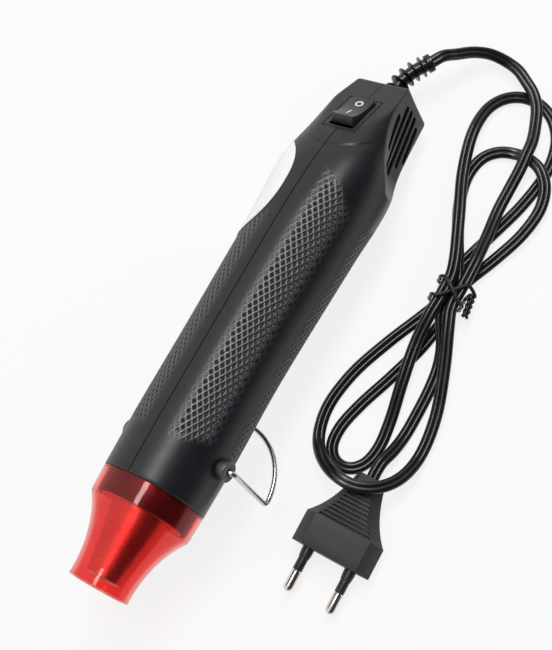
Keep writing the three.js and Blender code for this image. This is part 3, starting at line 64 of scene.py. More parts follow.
# Housing sections: place along the tool, radius, drop of the centre
BODY_LENGTH = 190.7
STATIONS = np.array([
    [0, 20.9, 0], [24, 21.4, 0], [60, 21.4, 0], [117, 22.7, 1.8],
    [144, 22.8, 4.1], [163, 19.8, 4.8], [BODY_LENGTH, 17.6, 8.2],
])
WALL = 2
REAR_EDGE_ROUND = 1.6
HEAD_SQUARENESS, SQUARE_FROM, SQUARE_LENGTH = 2.7, 110, 40
PANEL_AT, PANEL_HEIGHT, PANEL_ANGLE, PANEL_BLEND = 150, 18.6, math.radians(21), 0.8
REAR_HALF_WIDTH, SCOOP_TAPER, SCOOP_BLEND = 12, 0.14, 0.6
SCOOP_BEND_AT, SCOOP_BEND_LENGTH, SCOOP_FLARE = 158, 12, 3.8
SCOOP_LEAN, SCOOP_LEAN_AT, SCOOP_LEAN_BLEND = 0.5, 167, 6
LIP_AT, LIP_BOW, LIP_DEPTH, LIP_EDGE, LIP_LENGTH = 149.4, 0.0046, 0.45, 0.7, 10
LIP_END_ANGLE, LIP_FADE_ANGLE = 48, 12
SPIGOT_RADIUS, SPIGOT_BORE, SPIGOT_LENGTH, SPIGOT_DEPTH, SPIGOT_EDGE = 18.6, 17.2, 9, 4, 0.5
PARTING_GAP, PARTING_GROOVE, PARTING_GROOVE_WIDTH = 0.03, 0.3, 0.21
FRONT_EDGE, HEAD_STEP = 0.35, 0.5
MERGE, CUT_MERGE, CUT_BEND = 1e-6, 1e-5, math.radians(6)

# Knurl: a lattice of raised lines with a small peak in each pocket, its pockets longer than wide
# A side's panels are given by their first and last angle from the top, in degrees
KNURL_AROUND, KNURL_LENGTH, KNURL_FINENESS = 26, 4.15, 8
KNURL_DEPTH = 0.38
KNURL_RADIUS = STATIONS[1, 1]
KNURL_PANELS = {1: ((14, 66), (86, 140)), -1: ((10, 62), (86, 140))}
KNURL_FROM, KNURL_TO = 17, {1: 140, -1: 116}
KNURL_START_SLANT, KNURL_END_SLANT = 5, 15
KNURL_FADE = 4.5
KNURL_PROFILE = ((0, 0.14, 0.25, 0.375, 0.5), (1, 1, 0, 0.35, 0.95))
KNURL_LINE, KNURL_LABEL_SLOPE = ((0.125, 0.25), (1, 0)), 5

# Vent slots: height, front end and rear end of each
SLOT_WIDTH = 2.9
SLOTS = ((2.4, 161, 178), (-2, 155, 185), (-6.4, 155, 186), (-10.8, 161, 186), (-15.2, 166, 184))
SLOT_INNER, SLOT_OUTER = 2, 35

# Switch, gland, stand bosses, screws by place and height, and label
SWITCH_AT = 168.25
FLANGE_WIDTH, FLANGE_LENGTH, FLANGE_CORNER, FLANGE_EDGE = 15, 21, 0.7, 0.25
WINDOW_GAP = 0.3
SWITCH_DEPTH = 13
ROCKER_WIDTH, ROCKER_LENGTH, ROCKER_END_HEIGHT, ROCKER_MIDDLE_HEIGHT = 10.2, 16.4, 2.9, 1.6
ROCKER_DEPTH, ROCKER_PIVOT_DEPTH, ROCKER_TILT = 4.4, 2.8, math.radians(9)
ROCKER_EDGE, MARK_RISE = 0.4, 0.06
POCKET_SIDE_GAP, POCKET_END_GAP, POCKET_DEPTH = 0.3, 0.9, 6.5
GLAND_HEIGHT, GLAND_RADIUS, GLAND_HOLE_RADIUS, GLAND_END = -6.5, 3.6, 3.9, 2.3
GUARD_REACH = ((0, 0, 0), (0.4, 7, -0.2), (3, 14, -0.6), (8, 21.3, -1.5))
GUARD_RADIUS, GUARD_RIB_RADIUS, GUARD_RIB_THICKNESS, GUARD_RIBS = 2.8, 4.6, 0.8, 5
GUARD_FIRST_RIB, GUARD_LAST_RIB, GUARD_TIP_RADIUS, GUARD_TIP_LENGTH = 0.14, 0.8, 3.9, 2.6
STAND_AT, STAND_BOSS_RADIUS, STAND_BOSS_END, STAND_BOSS_ROOT = 18, 4.2, 24.6, 19.6
STAND_BOSS_EDGE = 0.6
STAND_WIRE_RADIUS, STAND_HALF_WIDTH, STAND_LEG, STAND_BEND, STAND_HOLE_DEPTH = 1, 26.6, 31.6, 2.4, 4.6
SCREW_PLACES = ((11, -14.6), (82, 15.4), (118, -18), (168, -18.6))
SCREW_HEAD_RADIUS, SCREW_HEAD_THICKNESS, SCREW_HEAD_AT, SCREW_HEAD_EDGE = 2.6, 1.8, 8.3, 0.4
SCREW_WELL, SCREW_CAP_GAP = 0.6, 0.1
LABEL_AT, LABEL_HALF_LENGTH, LABEL_ANGLE, LABEL_HALF_ANGLE = 127, 24, 72, 57
LABEL_FULLNESS, LABEL_END, LABEL_LIFT = 2.3, 0.97, (0.1, 0.4)

# Hood and heat tube, turned about the tool's axis: forward is -y
HOOD_LENGTH, HOOD_WALL, HOOD_JOINT_RADIUS, HOOD_GAP = 40.35, 1.6, STATIONS[0, 1], 0.3
HOOD_SHOULDER_AT, HOOD_SHOULDER_RADIUS = 10.2, 20.57
HOOD_THROAT_AT, HOOD_THROAT_RADIUS, HOOD_RIM_RADIUS = 23, 11.6, 12.17
HOOD_RIM, HOOD_SHOULDER_ROUND, HOOD_EDGE = 0.35, 1.4, 0.2
TUBE_REAR, TUBE_FRONT, TUBE_REAR_RADIUS, TUBE_FRONT_RADIUS, TUBE_WALL = 7.9, 36.3, 12.2, 7, 0.5
TUBE_FLANGE_RADIUS, TUBE_ROLL = 16.9, 0.4

# Lead on the table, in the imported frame: the points of its route, in millimetres
CORD_WIDTH, CORD_THICKNESS = 5.2, 3.2
FREE_STRETCH = (
    (10.5, 134.5, 15.5), (16.5, 141, 11), (23, 145, 7.6), (29.5, 146, 5.9), (36, 145, 5.6), (41.5, 142, 5.6),
    (46.5, 138.5, 5.9), (50.5, 133.5, 6), (53.5, 126, 6.6), (55.5, 118.5, 7.6), (56, 112, 8.2),
    (56.5, 105.5, 7.2), (56.5, 95.5, 5.2), (56.5, 85.5, 5), (57.5, 72, 7.4), (58, 60, 10.4),
)
PLUG_STRETCH = (
    (56.2, 33, 7.2), (59.2, 28.2, 6), (62.4, 22.6, 3.8), (64.8, 15.5, 1.8), (66, 6, 1.8), (66.2, -6, 1.8),
    (65.8, -17, 2), (64.4, -25, 4.4), (62.6, -31, 6.6), (62.2, -35, 7),
)
TIE_PLACE, TIE_HALF_LENGTH = (55, 43.3), 6
LOW_STRAND, MIDDLE_STRAND, HIGH_STRAND, STRAND_SPREAD = 3.6, 7.4, 11.2, 3.1
STRANDS = (
    (STRAND_SPREAD, HIGH_STRAND), (-STRAND_SPREAD, LOW_STRAND), (-STRAND_SPREAD, HIGH_STRAND),
    (STRAND_SPREAD, LOW_STRAND), (0, MIDDLE_STRAND),
)
LOOP_CROWDING = 0.35
# Loops: reach from the tie, half width, lean and fullness, then the heights along each
LOOPS = (
    (-83, 19, -1.6, 0.7, (11.2, 11, 8.6, 6.2, 5.8, 11.2, 13.7, 14, 13, 8.6, 2.8, 1.8, 1.8, 1.8, 2.8, 3.6)),
    (88, 17.8, -3.5, 0.9, (3.6, 2.6, 1.9, 1.8, 1.8, 1.8, 1.8, 1.8, 1.8, 1.8, 3, 5.6, 6.2, 9.6, 11.2, 11.2)),
    (-77, 10.4, -6, 1.7,
     (11.2, 10.8, 8, 5.8, 2.8, 1.8, 1.8, 1.8, 1.8, 1.8, 1.8, 1.8, 1.8, 1.8, 1.8, 2.2, 3.6)),
    (63, 15.6, -2.1, 0.75, (3.6, 3, 3.2, 4.8, 5.6, 5.9, 5.9, 4.2, 2.2, 1.8, 1.8, 1.8, 3, 6.4, 7.4, 7.4)),
)
TIE_WIRE_RADIUS, TIE_COVER = 0.55, 0.2
# Turns of the tie: place along the waist on the right, on the left and back on the right, and the rise
TIE_TURNS = ((5, -4.6, -3.4, 0), (-3.4, 3.8, 0.2, 1.7))
TIE_END_FROM, TIE_END_TO = (2, 2.8, -2.6), (3.2, -5.6, -7)
TIE_TWISTS, TIE_TWIST_RADIUS, TIE_TWIST_STEPS = 2, 0.9, 18

# Plug: its place, then sizes with y from its face to its tail
PLUG_PLACE = (62.2, -74.84, 7)
PLUG_HALF_WIDTH, PLUG_HALF_THICKNESS, PLUG_SIDE = 17, 6.85, 1
PLUG_STRAIGHT, PLUG_NECK_AT, PLUG_LENGTH = 13, 21, 36
PLUG_NECK_HALF_WIDTH, PLUG_NECK_HALF_THICKNESS = 9, 4.2
PLUG_TAIL_HALF_WIDTH, PLUG_TAIL_HALF_THICKNESS = 6, 3.6
PLUG_FACETS, PLUG_TAIL_FACETS = np.array((6.2, 3.8)), np.array((3.8, 1.4))
PLUG_GROOVES, PLUG_GROOVES_AT, PLUG_GROOVE_PITCH = 9, 13.5, 1.75
PLUG_GROOVE_WIDTH, PLUG_GROOVE_DEPTH, PLUG_GROOVE_LIP, PLUG_GROOVE_SLOPE = 1.05, 1.5, 0.12, 0.25
PLUG_FIRST_STEP, PLUG_LAST_STEP, PLUG_EDGE = 0.35, 1, 0.5
PIN_SPREAD, PIN_LENGTH, PIN_RADIUS, PIN_CORE_RADIUS, PIN_ROOT = 9.3, 19, 2, 1.2, 6
PIN_EDGE, PIN_NECK_EDGE = 0.15, 0.1
SLEEVE_LENGTH, SLEEVE_COLLAR_RADIUS, SLEEVE_COLLAR_LENGTH = 10, 2.5, 1.6
SLEEVE_TAPER_LENGTH, SLEEVE_TAPER_STEP = 4.2, 0.2
AXIS_RADIUS = 0.01
SEAT_GAP = 0.3

# Floor, light and background, in metres and watts; lamps by place, width, length and power
FLOOR_HALF_SIZE = 4
FLOOR_COLOUR, FLOOR_CLOUDS, FLOOR_ROUGHNESS = 0.86, 0.02, 0.9
FLOOR_GLOW = 0.82
WORLD_STRENGTH = 0.4
CEILING_STRENGTH, CEILING_FROM, WALL_FROM, WALL_TO = 0.06, 0.05, -0.3, 0.12
LAMPS = (
    ("key", (-0.29, 0.35, 1.2), 0.24, 1, 9.5),
    ("fill", (0.2, 1, 0.8), 0.8, 0.8, 0.6),
)


def tool_points(points):
    """Points of the tool's frame, in millimetres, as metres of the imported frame."""
    return TOOL_ORIGIN + MM * np.asarray(points, float) @ TOOL_AXES


def plug_points(points):
    return MM * (np.asarray(points, float) + PLUG_PLACE)


# Camera
def loose_object(name, data):
    made = bpy.data.objects.new(name, data)
    scene.collection.objects.link(made)
    return made


def stood(name, data, place, right, up):
    """A camera or lamp at a place, turned so that its own x and y point right and up."""
    made = loose_object(name, data)
    made.matrix_world = Matrix.Translation(place) @ Matrix((right, up, right.cross(up))).transposed().to_4x4()
    return made


def make_camera():
    data = bpy.data.cameras.new("camera")
    data.sensor_width = SENSOR
    data.lens = SENSOR * FOCAL_PIXELS / IMAGE_LONG_SIDE
    data.clip_start, data.clip_end = 0.01, 20
    right, up = Vector(CAMERA_RIGHT).normalized(), Vector(CAMERA_UP).normalized()
    scene.camera = stood("camera", data, Vector(CAMERA_PLACE) * MM, right, up)


make_camera()


# Paths and meshes
def eased(t):
    """A smooth step from 0 to 1."""
    return t * t * (3 - 2 * t)


def bent(t, start, middle, end):
    """The place t along a curve from start to end that is drawn to the middle."""
    return (1 - t) ** 2 * start + 2 * t * (1 - t) * middle + t * t * end


def smooth_path(points, per_span):
    """A centripetal Catmull-Rom curve through the points."""
    points = np.asarray(points, float)
    padded = np.vstack([2 * points[0] - points[1], points, 2 * points[-1] - points[-2]])
    pieces = []
    for first in range(len(points) - 1):
        layer = padded[first:first + 4]
        knots = np.cumsum([0] + [np.linalg.norm(b - a) ** 0.5 for a, b in zip(layer, layer[1:])])
        t = np.linspace(knots[1], knots[2], per_span, endpoint=False)[:, None]
        for starts, ends in ((knots[:3], knots[1:]), (knots[:2], knots[2:]), (knots[1:2], knots[2:3])):
            layer = [(a * (end - t) + b * (t - start)) / (end - start)
                     for a, b, start, end in zip(layer, layer[1:], starts, ends)]
        pieces += layer
    return np.vstack(pieces + [points[-1:]])


def unit(directions):
    return directions / np.linalg.norm(directions, axis=-1, keepdims=True)


def tangents(path):
    return unit(np.gradient(path, axis=0))


def distances(path):
    """How far along the path each point is."""
    return np.r_[0, np.cumsum(np.linalg.norm(np.diff(path, axis=0), axis=1))]


def carried_frames(path):
    """Two directions across the path at each point, turned as little as possible."""
    along = tangents(path)
    start = np.eye(3)[np.argmin(np.abs(along[0]))]
    side = np.cross(along[0], start)
    sides = []
    for direction in along:
        side = unit(side - direction * (side @ direction))
        sides.append(side)
    sides = np.array(sides)
    return sides, np.cross(along, sides)


def level_frames(path):
    along = tangents(path)
    sides = unit(np.cross(along, (0, 0, 1)))
    return sides, np.cross(sides, along)


def grid_faces(rows, columns, around=False, along=False):
    """Quads over a grid of points, closed round its columns or its rows where asked."""
    i, j = np.meshgrid(np.arange(rows if along else rows - 1), np.arange(columns if around else columns - 1),
                       indexing="ij")
    below, beside = (i + 1) % rows, (j + 1) % columns
    quads = (i * columns + j, i * columns + beside, below * columns + beside, below * columns + j)
    return np.stack([quad.ravel() for quad in quads], axis=1).tolist()


def lofted(sections):
    """A closed solid, as points and faces, through sections of equally many points."""
    sections = np.asarray(sections, float)
    rows, count = sections.shape[:2]
    last = (rows - 1) * count
    faces = grid_faces(rows, count, around=True) + [list(range(count)), list(range(last, last + count))]
    return sections.reshape(-1, 3), faces


def swept(path, frames, sections):
    """A closed tube: sections are one outline for all rings, or one for each ring."""
    sides, ups = frames
    sections = np.broadcast_to(sections, (len(path), *np.shape(sections)[-2:]))
    return lofted(path[:, None] + sections[..., :1] * sides[:, None] + sections[..., 1:] * ups[:, None])


def circle(sides, radius=1):
    angle = 2 * np.pi * np.arange(sides) / sides
    return radius * np.stack([np.cos(angle), np.sin(angle)], axis=1)


def rod(path, sides, radius):
    return swept(path, carried_frames(path), circle(sides, radius))


def turned(profile, segments):
    """A ring of the closed profile of (radius, y) corners about the y axis."""
    points = [(radius * x, y, radius * z) for radius, y in profile for x, z in circle(segments)]
    return np.array(points), grid_faces(len(profile), segments, around=True, along=True)


def arc(centre, radius, start, end, steps):
    """Points of an arc in degrees, both ends included."""
    angle = np.radians(np.linspace(start, end, steps + 1))
    return [(centre[0] + radius * np.cos(a), centre[1] + radius * np.sin(a)) for a in angle]


def placed(place, solid):
    """The solid with its points put through the place function."""
    points, faces = solid
    return place(points), faces


def mended(mesh, merge, finish):
    """The mesh with close points merged, slivers dissolved and the finishing step done."""
    tidy = bmesh.new()
    tidy.from_mesh(mesh)
    bmesh.ops.remove_doubles(tidy, verts=tidy.verts, dist=merge)
    bmesh.ops.dissolve_degenerate(tidy, edges=tidy.edges, dist=merge / 10)
    finish(tidy)
    tidy.to_mesh(mesh)
    tidy.free()
    return mesh


def turn_outward(tidy):
    bmesh.ops.recalc_face_normals(tidy, faces=tidy.faces)


def drop_spare_points(tidy):
    """Take out points along a nearly straight edge between two faces, which cuts leave behind."""
    spare = [point for point in tidy.verts
             if len(point.link_edges) == 2 and point.calc_edge_angle(1) < CUT_BEND]
    bmesh.ops.dissolve_verts(tidy, verts=spare)


def build_mesh(name, points, faces, ridge=None):
    """A merged mesh with outward faces; ridge is how much each point stands on a raised line."""
    mesh = bpy.data.meshes.new(name)
    mesh.from_pydata(np.asarray(points).tolist(), [], faces)
    if ridge is not None:
        mesh.attributes.new("ridge", "FLOAT", "POINT").data.foreach_set("value", ridge)
    return mended(mesh, MERGE, turn_outward)


def show(name, mesh, slot, node=None, body="tool", sharp=35, look=None):
    """A shown piece in its slot's material or another, riding on a body and standing for the named node."""
    mesh.shade_smooth()
    mesh.set_sharp_from_angle(angle=math.radians(sharp))
    mesh.materials.clear()
    mesh.materials.append(LOOKS[look or slot].material)
    piece = loose_object(name, mesh)
    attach(piece, body)
    if node:
        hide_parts(node)
    return piece


def make(name, solid, slot, node=None, **settings):
    """A shown piece of the solid's points and faces."""
    return show(name, build_mesh(name, *solid), slot, node, **settings)


def baked(made, *modifiers):
    """The object's mesh with modifiers of (kind, settings) applied, leaving no object behind."""
    for kind, settings in modifiers:
        modifier = made.modifiers.new(kind.lower(), kind)
        for key, value in settings.items():
            setattr(modifier, key, value)
    bpy.context.view_layer.update()
    result = bpy.data.meshes.new_from_object(made.evaluated_get(bpy.context.evaluated_depsgraph_get()))
    result.name = made.name
    bpy.data.objects.remove(made)
    return result


def bevelled(mesh, width, segments=3, angle=30):
    settings = {"width": width * MM, "segments": segments, "limit_method": "ANGLE",
                "angle_limit": math.radians(angle), "harden_normals": False, "miter_outer": "MITER_ARC"}
    return baked(loose_object(mesh.name, mesh), ("BEVEL", settings))


def joined(name, parts):
    """One mesh of several closed (points, faces) parts."""
    points, faces = [], []
    for part_points, part_faces in parts:
        start = sum(len(block) for block in points)
        points.append(np.asarray(part_points))
        faces += [[start + index for index in face] for face in part_faces]
    return build_mesh(name, np.vstack(points), faces)


def carved(mesh, *steps):
    """The mesh after steps of (kind, mesh): each joins its mesh to it or cuts it out of it."""
    made = loose_object(mesh.name, mesh)
    tools = [(kind, loose_object(tool.name, tool)) for kind, tool in steps]
    result = baked(made, *(("BOOLEAN", {"operation": kind, "object": tool, "solver": "EXACT"})
                           for kind, tool in tools))
    for _, tool in tools:
        bpy.data.objects.remove(tool)
    return result


# Materials: each is one shader with procedural colour, gloss and grain in object space
class Nodes:
    """A node tree whose inputs are given as values, or as the outputs that feed them."""

    def __init__(self, tree):
        self.tree = tree

    def feed(self, socket, value):
        if isinstance(value, bpy.types.NodeSocket):
            self.tree.links.new(value, socket)
        else:
            socket.default_value = value

    def node(self, kind, inputs=None, **settings):
        made = self.tree.nodes.new(kind)
        for key, value in settings.items():
            setattr(made, key, value)
        for key, value in (inputs or {}).items():
            self.feed(made.inputs[key], value)
        return made

    def most_of(self, *values):
        """The greatest of the values."""
        most = values[0]
        for value in values[1:]:
            most = self.node("ShaderNodeMath", {0: most, 1: value}, operation="MAXIMUM").outputs["Value"]
        return most

    def seen_directly(self):
        """1 for rays from the camera, and for those that mirror or see through to it."""
        path = self.node("ShaderNodeLightPath").outputs
        return self.most_of(path["Is Camera Ray"], path["Is Glossy Ray"], path["Is Transmission Ray"])


class Look(Nodes):
    """A material of one shader."""

    def __init__(self, name):
        self.material = bpy.data.materials.new(name)
        self.material.use_nodes = True
        super().__init__(self.material.node_tree)
        self.shader = self.tree.nodes["Principled BSDF"]
        self.place = self.node("ShaderNodeTexCoord").outputs["Object"]

    def set(self, **inputs):
        for key, value in inputs.items():
            self.feed(self.shader.inputs[key.replace("_", " ")], value)

    def give_way(self, factor, other):
        """Show the other shader in place of the main one, by the factor."""
        mix = self.node("ShaderNodeMixShader", {"Fac": factor, 1: self.shader.outputs["BSDF"], 2: other})
        self.feed(self.tree.nodes["Material Output"].inputs["Surface"], mix.outputs["Shader"])

    def noise(self, size, detail=3, stretch=None):
        """Cloudy grain of the given size in millimetres."""
        place = self.place
        if stretch:
            place = self.node("ShaderNodeMapping", {"Scale": stretch, "Vector": place}).outputs["Vector"]
        grain = self.node("ShaderNodeTexNoise", {"Scale": 1 / (size * MM), "Detail": detail, "Vector": place})
        return grain.outputs["Fac"]

    def cells(self, size):
        pattern = self.node("ShaderNodeTexVoronoi", {"Scale": 1 / (size * MM), "Vector": self.place})
        return pattern.outputs["Distance"]

    def colour(self, factor, dark, light, low=0.3, high=0.7):
        ramp = self.node("ShaderNodeValToRGB", {"Fac": factor})
        for element, place, shade in zip(ramp.color_ramp.elements, (low, high), (dark, light)):
            element.position = place
            element.color = (*shade, 1)
        return ramp.outputs["Color"]

    def spread(self, factor, low, high):
        mapped = self.node("ShaderNodeMapRange", {"Value": factor, "To Min": low, "To Max": high})
        return mapped.outputs["Result"]

    def grain(self, height, depth, strength=0.5):
        """Bump of the given depth in millimetres."""
        bump = self.node("ShaderNodeBump", {"Strength": strength, "Distance": depth * MM, "Height": height})
        self.set(Normal=bump.outputs["Normal"])

    def blend(self, factor, colour, other):
        mix = self.node("ShaderNodeMix", {"Factor": factor, "A": colour, "B": (*other, 1)}, data_type="RGBA")
        return mix.outputs["Result"]

    def highlit_edges(self, colour, edge):
        """The colour, a little paler where the surface turns sharply outward: a painted highlight on sharp edges.
        """
        sharp = self.node("ShaderNodeNewGeometry").outputs["Pointiness"]
        share = self.colour(sharp, (0, 0, 0), (1, 1, 1), low=0.52, high=0.62)
        return self.blend(share, colour, edge)


def moulded(name, dark, light, gloss, grain_size, grain_depth, edge=None, patch=9):
    """Moulded plastic or rubber: clouded colour, uneven gloss and a fine moulded grain."""
    look = Look(name)
    colour = look.colour(look.noise(patch), dark, light)
    # Where an edge colour is given, sharp edges are painted paler as a highlight
    if edge:
        colour = look.highlit_edges(colour, edge)
    look.set(Base_Color=colour, Roughness=look.spread(look.noise(patch / 3), *gloss))
    look.grain(look.noise(grain_size, detail=2), grain_depth)
    return look


def gripped(name, line, shine, *plain):
    """Moulded plastic, shinier on the raised lines of its grip, which are painted paler as a highlight."""
    look = moulded(name, *plain)
    ridge = look.node("ShaderNodeAttribute", attribute_name="ridge").outputs["Fac"]
    colour = look.shader.inputs["Base Color"].links[0].from_socket
    look.set(Base_Color=look.blend(ridge, colour, line), Specular_IOR_Level=look.spread(ridge, *shine))
    return look


def metal(name, dark, light, gloss, stretch=(1, 1, 1), streak=0.4):
    """Metal with streaked tone and gloss."""
    look = Look(name)
    streaks = look.noise(streak, detail=4, stretch=stretch)
    look.set(Metallic=1, Base_Color=look.colour(streaks, dark, light), Roughness=look.spread(streaks, *gloss))
    look.grain(streaks, depth=0.01, strength=0.3)
    return look


def clear_red(name):
    """See-through red plastic that lets the lamps' light through to what is inside and behind."""
    look = Look(name)
    look.set(Base_Color=look.colour(look.noise(14), (0.88, 0.15, 0.14), (0.93, 0.2, 0.18)),
             Roughness=look.spread(look.noise(6), 0.04, 0.1),
             Transmission_Weight=1, IOR=1.15, Coat_Weight=0.4, Coat_Roughness=0.05)
    look.grain(look.noise(9, detail=1), depth=0.05, strength=0.25)
    through = look.node("ShaderNodeBsdfTransparent", {"Color": (0.95, 0.45, 0.42, 1)})
    look.give_way(look.node("ShaderNodeLightPath").outputs["Is Shadow Ray"], through.outputs["BSDF"])
    return look


def flaky_mica(name):
    look = Look(name)
    flakes = look.cells(1.8)
    look.set(Base_Color=look.colour(flakes, (0.36, 0.28, 0.17), (0.62, 0.52, 0.36), low=0.1, high=0.6),
             Roughness=look.spread(look.noise(1.2), 0.25, 0.5))
    look.grain(flakes, depth=0.06)
    return look


# Dark and light colour, range of roughness, size and depth of the grain, then painted edge highlight colour and
# size of clouds
MOULDED = {
    "gloss_black": ((0.014, 0.014, 0.015), (0.02, 0.02, 0.022), (0.28, 0.4), 0.3, 0.006, (0.04, 0.04, 0.043)),
    "cord_black": ((0.005, 0.005, 0.006), (0.009, 0.009, 0.01), (0.2, 0.27), 6, 0.01),
    "tie_black": ((0.01, 0.01, 0.011), (0.017, 0.017, 0.018), (0.35, 0.5), 0.3, 0.01),
    "plug_black": ((0.022, 0.022, 0.024), (0.03, 0.03, 0.033), (0.46, 0.58), 0.18, 0.014),
    "magnet": ((0.03, 0.03, 0.032), (0.06, 0.06, 0.062), (0.5, 0.7), 0.2, 0.02),
    "ceramic": ((0.62, 0.58, 0.5), (0.74, 0.7, 0.62), (0.6, 0.8), 0.25, 0.02),
    "white_plastic": ((0.72, 0.71, 0.67), (0.8, 0.79, 0.75), (0.35, 0.5), 0.3, 0.01),
    "board_green": ((0.02, 0.08, 0.03), (0.03, 0.12, 0.05), (0.3, 0.45), 0.8, 0.02, None, 3),
    "label_white": ((0.95, 0.95, 0.94), (0.98, 0.98, 0.97), (0.3, 0.42), 0.4, 0.006),
    "lead_red": ((0.3, 0.03, 0.022), (0.42, 0.045, 0.03), (0.35, 0.5), 0.4, 0.01),
    "lead_blue": ((0.02, 0.05, 0.2), (0.03, 0.075, 0.28), (0.35, 0.5), 0.4, 0.01),
    "mark_white": ((0.78, 0.78, 0.76), (0.86, 0.86, 0.85), (0.4, 0.5), 0.2, 0.004),
}
# Dark and light colour, range of roughness, then the stretch and the size of the streaks
METALS = {
    "bare_steel": ((0.62, 0.61, 0.59), (0.84, 0.83, 0.81), (0.28, 0.45), (0.15, 1, 1)),
    "stand_steel": ((0.5, 0.49, 0.47), (0.72, 0.71, 0.68), (0.16, 0.28)),
    "nickel": ((0.6, 0.58, 0.54), (0.78, 0.76, 0.72), (0.1, 0.2), (1, 0.1, 1)),
    "brass": ((0.5, 0.34, 0.1), (0.66, 0.47, 0.17), (0.2, 0.34)),
    "coil_wire": ((0.12, 0.09, 0.08), (0.3, 0.25, 0.22), (0.3, 0.5), (1, 1, 1), 1.5),
}
LOOKS = {
    # The raised lines' colour is a painted highlight, paler than the plain housing
    "housing_black": gripped("housing_black", (0.037, 0.038, 0.043), (0.44, 1), (0.006, 0.0066, 0.009),
                             (0.009, 0.01, 0.0135), (0.34, 0.42), 0.22, 0.012),
    "red_clear": clear_red("red_clear"),
    "mica": flaky_mica("mica"),
    **{name: moulded(name, *values) for name, values in MOULDED.items()},
    **{name: metal(name, *values) for name, values in METALS.items()},
}


# Lead, tie and plug
def loop_points(loop, start, end):
    """One loop of the figure of eight, from one strand's place in the tie to the next."""
    reach, half_width, lean, fullness, heights = loop
    even = 2 * np.pi * np.arange(len(heights)) / (len(heights) - 1)
    turn = even + LOOP_CROWDING * np.sin(even)
    away = (1 - np.cos(turn)) / 2

    def swell(angle):
        return np.sin(angle) * ((1 - np.cos(angle)) / 2) ** fullness

    widest = 2 * math.atan(math.sqrt(1 + 2 * fullness))
    shift = (turn - np.sin(turn)) / (2 * np.pi)
    across = start[0] + (end[0] - start[0]) * shift + lean * away + half_width * swell(turn) / swell(widest)
    along = np.sign(reach) * TIE_HALF_LENGTH + reach * away
    return np.stack([TIE_PLACE[0] + across, TIE_PLACE[1] + along, heights], axis=1)


def guard_path(per_span=24):
    return smooth_path(np.array(GUARD_REACH) + (0, BODY_LENGTH, GLAND_HEIGHT), per_span)


def cord_route():
    guard = tool_points(guard_path()) / MM
    along = tangents(guard)[-1]

    def strand(place, side):
        return (TIE_PLACE[0] + place[0], TIE_PLACE[1] + side * TIE_HALF_LENGTH, place[1])

    tail = (PLUG_PLACE[0], PLUG_PLACE[1] + PLUG_LENGTH + SEAT_GAP, PLUG_PLACE[2])
    points = [guard[-1] + SEAT_GAP * along, guard[-1] + CORD_WIDTH * along, *FREE_STRETCH]
    points.append(strand(STRANDS[0], 1))
    for k, loop in enumerate(LOOPS):
        points += list(loop_points(loop, STRANDS[k], STRANDS[k + 1]))
    return np.array([*points, strand(STRANDS[-1], -1), *PLUG_STRETCH, tail])


def twin_section(per_core=21):
    """Two round cores side by side, with a groove between them."""
    radius = CORD_THICKNESS / 2
    offset = CORD_WIDTH / 2 - radius
    meet = math.degrees(math.acos(-offset / radius))
    right = arc((offset, 0), radius, -meet, meet, per_core - 1)
    left = arc((-offset, 0), radius, 180 - meet, 180 + meet, per_core - 1)
    return np.array(right + left)


def make_lead():
    path = smooth_path(cord_route(), per_span=6)
    solid = swept(MM * path, level_frames(path), MM * twin_section())
    piece = make("lead", solid, "cord_black", "power_cord", sharp=60)
    return piece, MM * path, float(distances(path)[-1]) * MM


def twisted_end(start, end, phase):
    """A wire that winds round the line from start to end."""
    t = np.linspace(0, 1, TIE_TWIST_STEPS)[:, None]
    line = start + (end - start) * t
    sides, ups = level_frames(line)
    turn = phase + 2 * np.pi * TIE_TWISTS * t
    return line + TIE_TWIST_RADIUS * (np.cos(turn) * sides + np.sin(turn) * ups)


def make_tie():
    """Wire wound twice round the waist, each turn going over on the right, across, under and up again."""
    room = SEAT_GAP + TIE_WIRE_RADIUS
    half = STRAND_SPREAD + CORD_WIDTH / 2 + room
    low = LOW_STRAND - CORD_THICKNESS / 2 - room
    high = HIGH_STRAND + CORD_THICKNESS / 2 + room
    corner = 3 * TIE_WIRE_RADIUS
    middle = (low + high) / 2
    root, tip = (np.array(place) + (half, 0, high) for place in (TIE_END_FROM, TIE_END_TO))
    route = list(twisted_end(root, tip, np.pi)[::-1])
    for right, left, back, rise in TIE_TURNS:
        route += [(half - corner, right, high), (0, (right + left) / 2, high + rise)]
        route.append((corner - half, left, high))
        route += [(-half, left, z) for z in (high - corner, middle, low + corner)]
        route += [(corner - half, left, low), (0, (left + back) / 2, low), (half - corner, back, low)]
        route += [(half, back, z) for z in (low + corner, middle, high - corner)]
    route += list(twisted_end(root, tip, 0))
    path = MM * smooth_path(np.array(route) + (*TIE_PLACE, 0), per_span=8)
    wire = rod(path, sides=12, radius=MM * (TIE_WIRE_RADIUS + TIE_COVER))
    return make("tie", wire, "tie_black", "twist_tie")


def taper(y, half, neck, tail):
    """Half size at y: straight to the shoulder, then a curve through the neck to the tail."""
    if y <= PLUG_STRAIGHT:
        return half
    a = PLUG_STRAIGHT - 2 * PLUG_NECK_AT + PLUG_LENGTH
    b = 2 * (PLUG_NECK_AT - PLUG_STRAIGHT)
    c = PLUG_STRAIGHT - y
    t = (-b + math.sqrt(b * b - 4 * a * c)) / (2 * a)
    return bent(t, half, neck, tail)


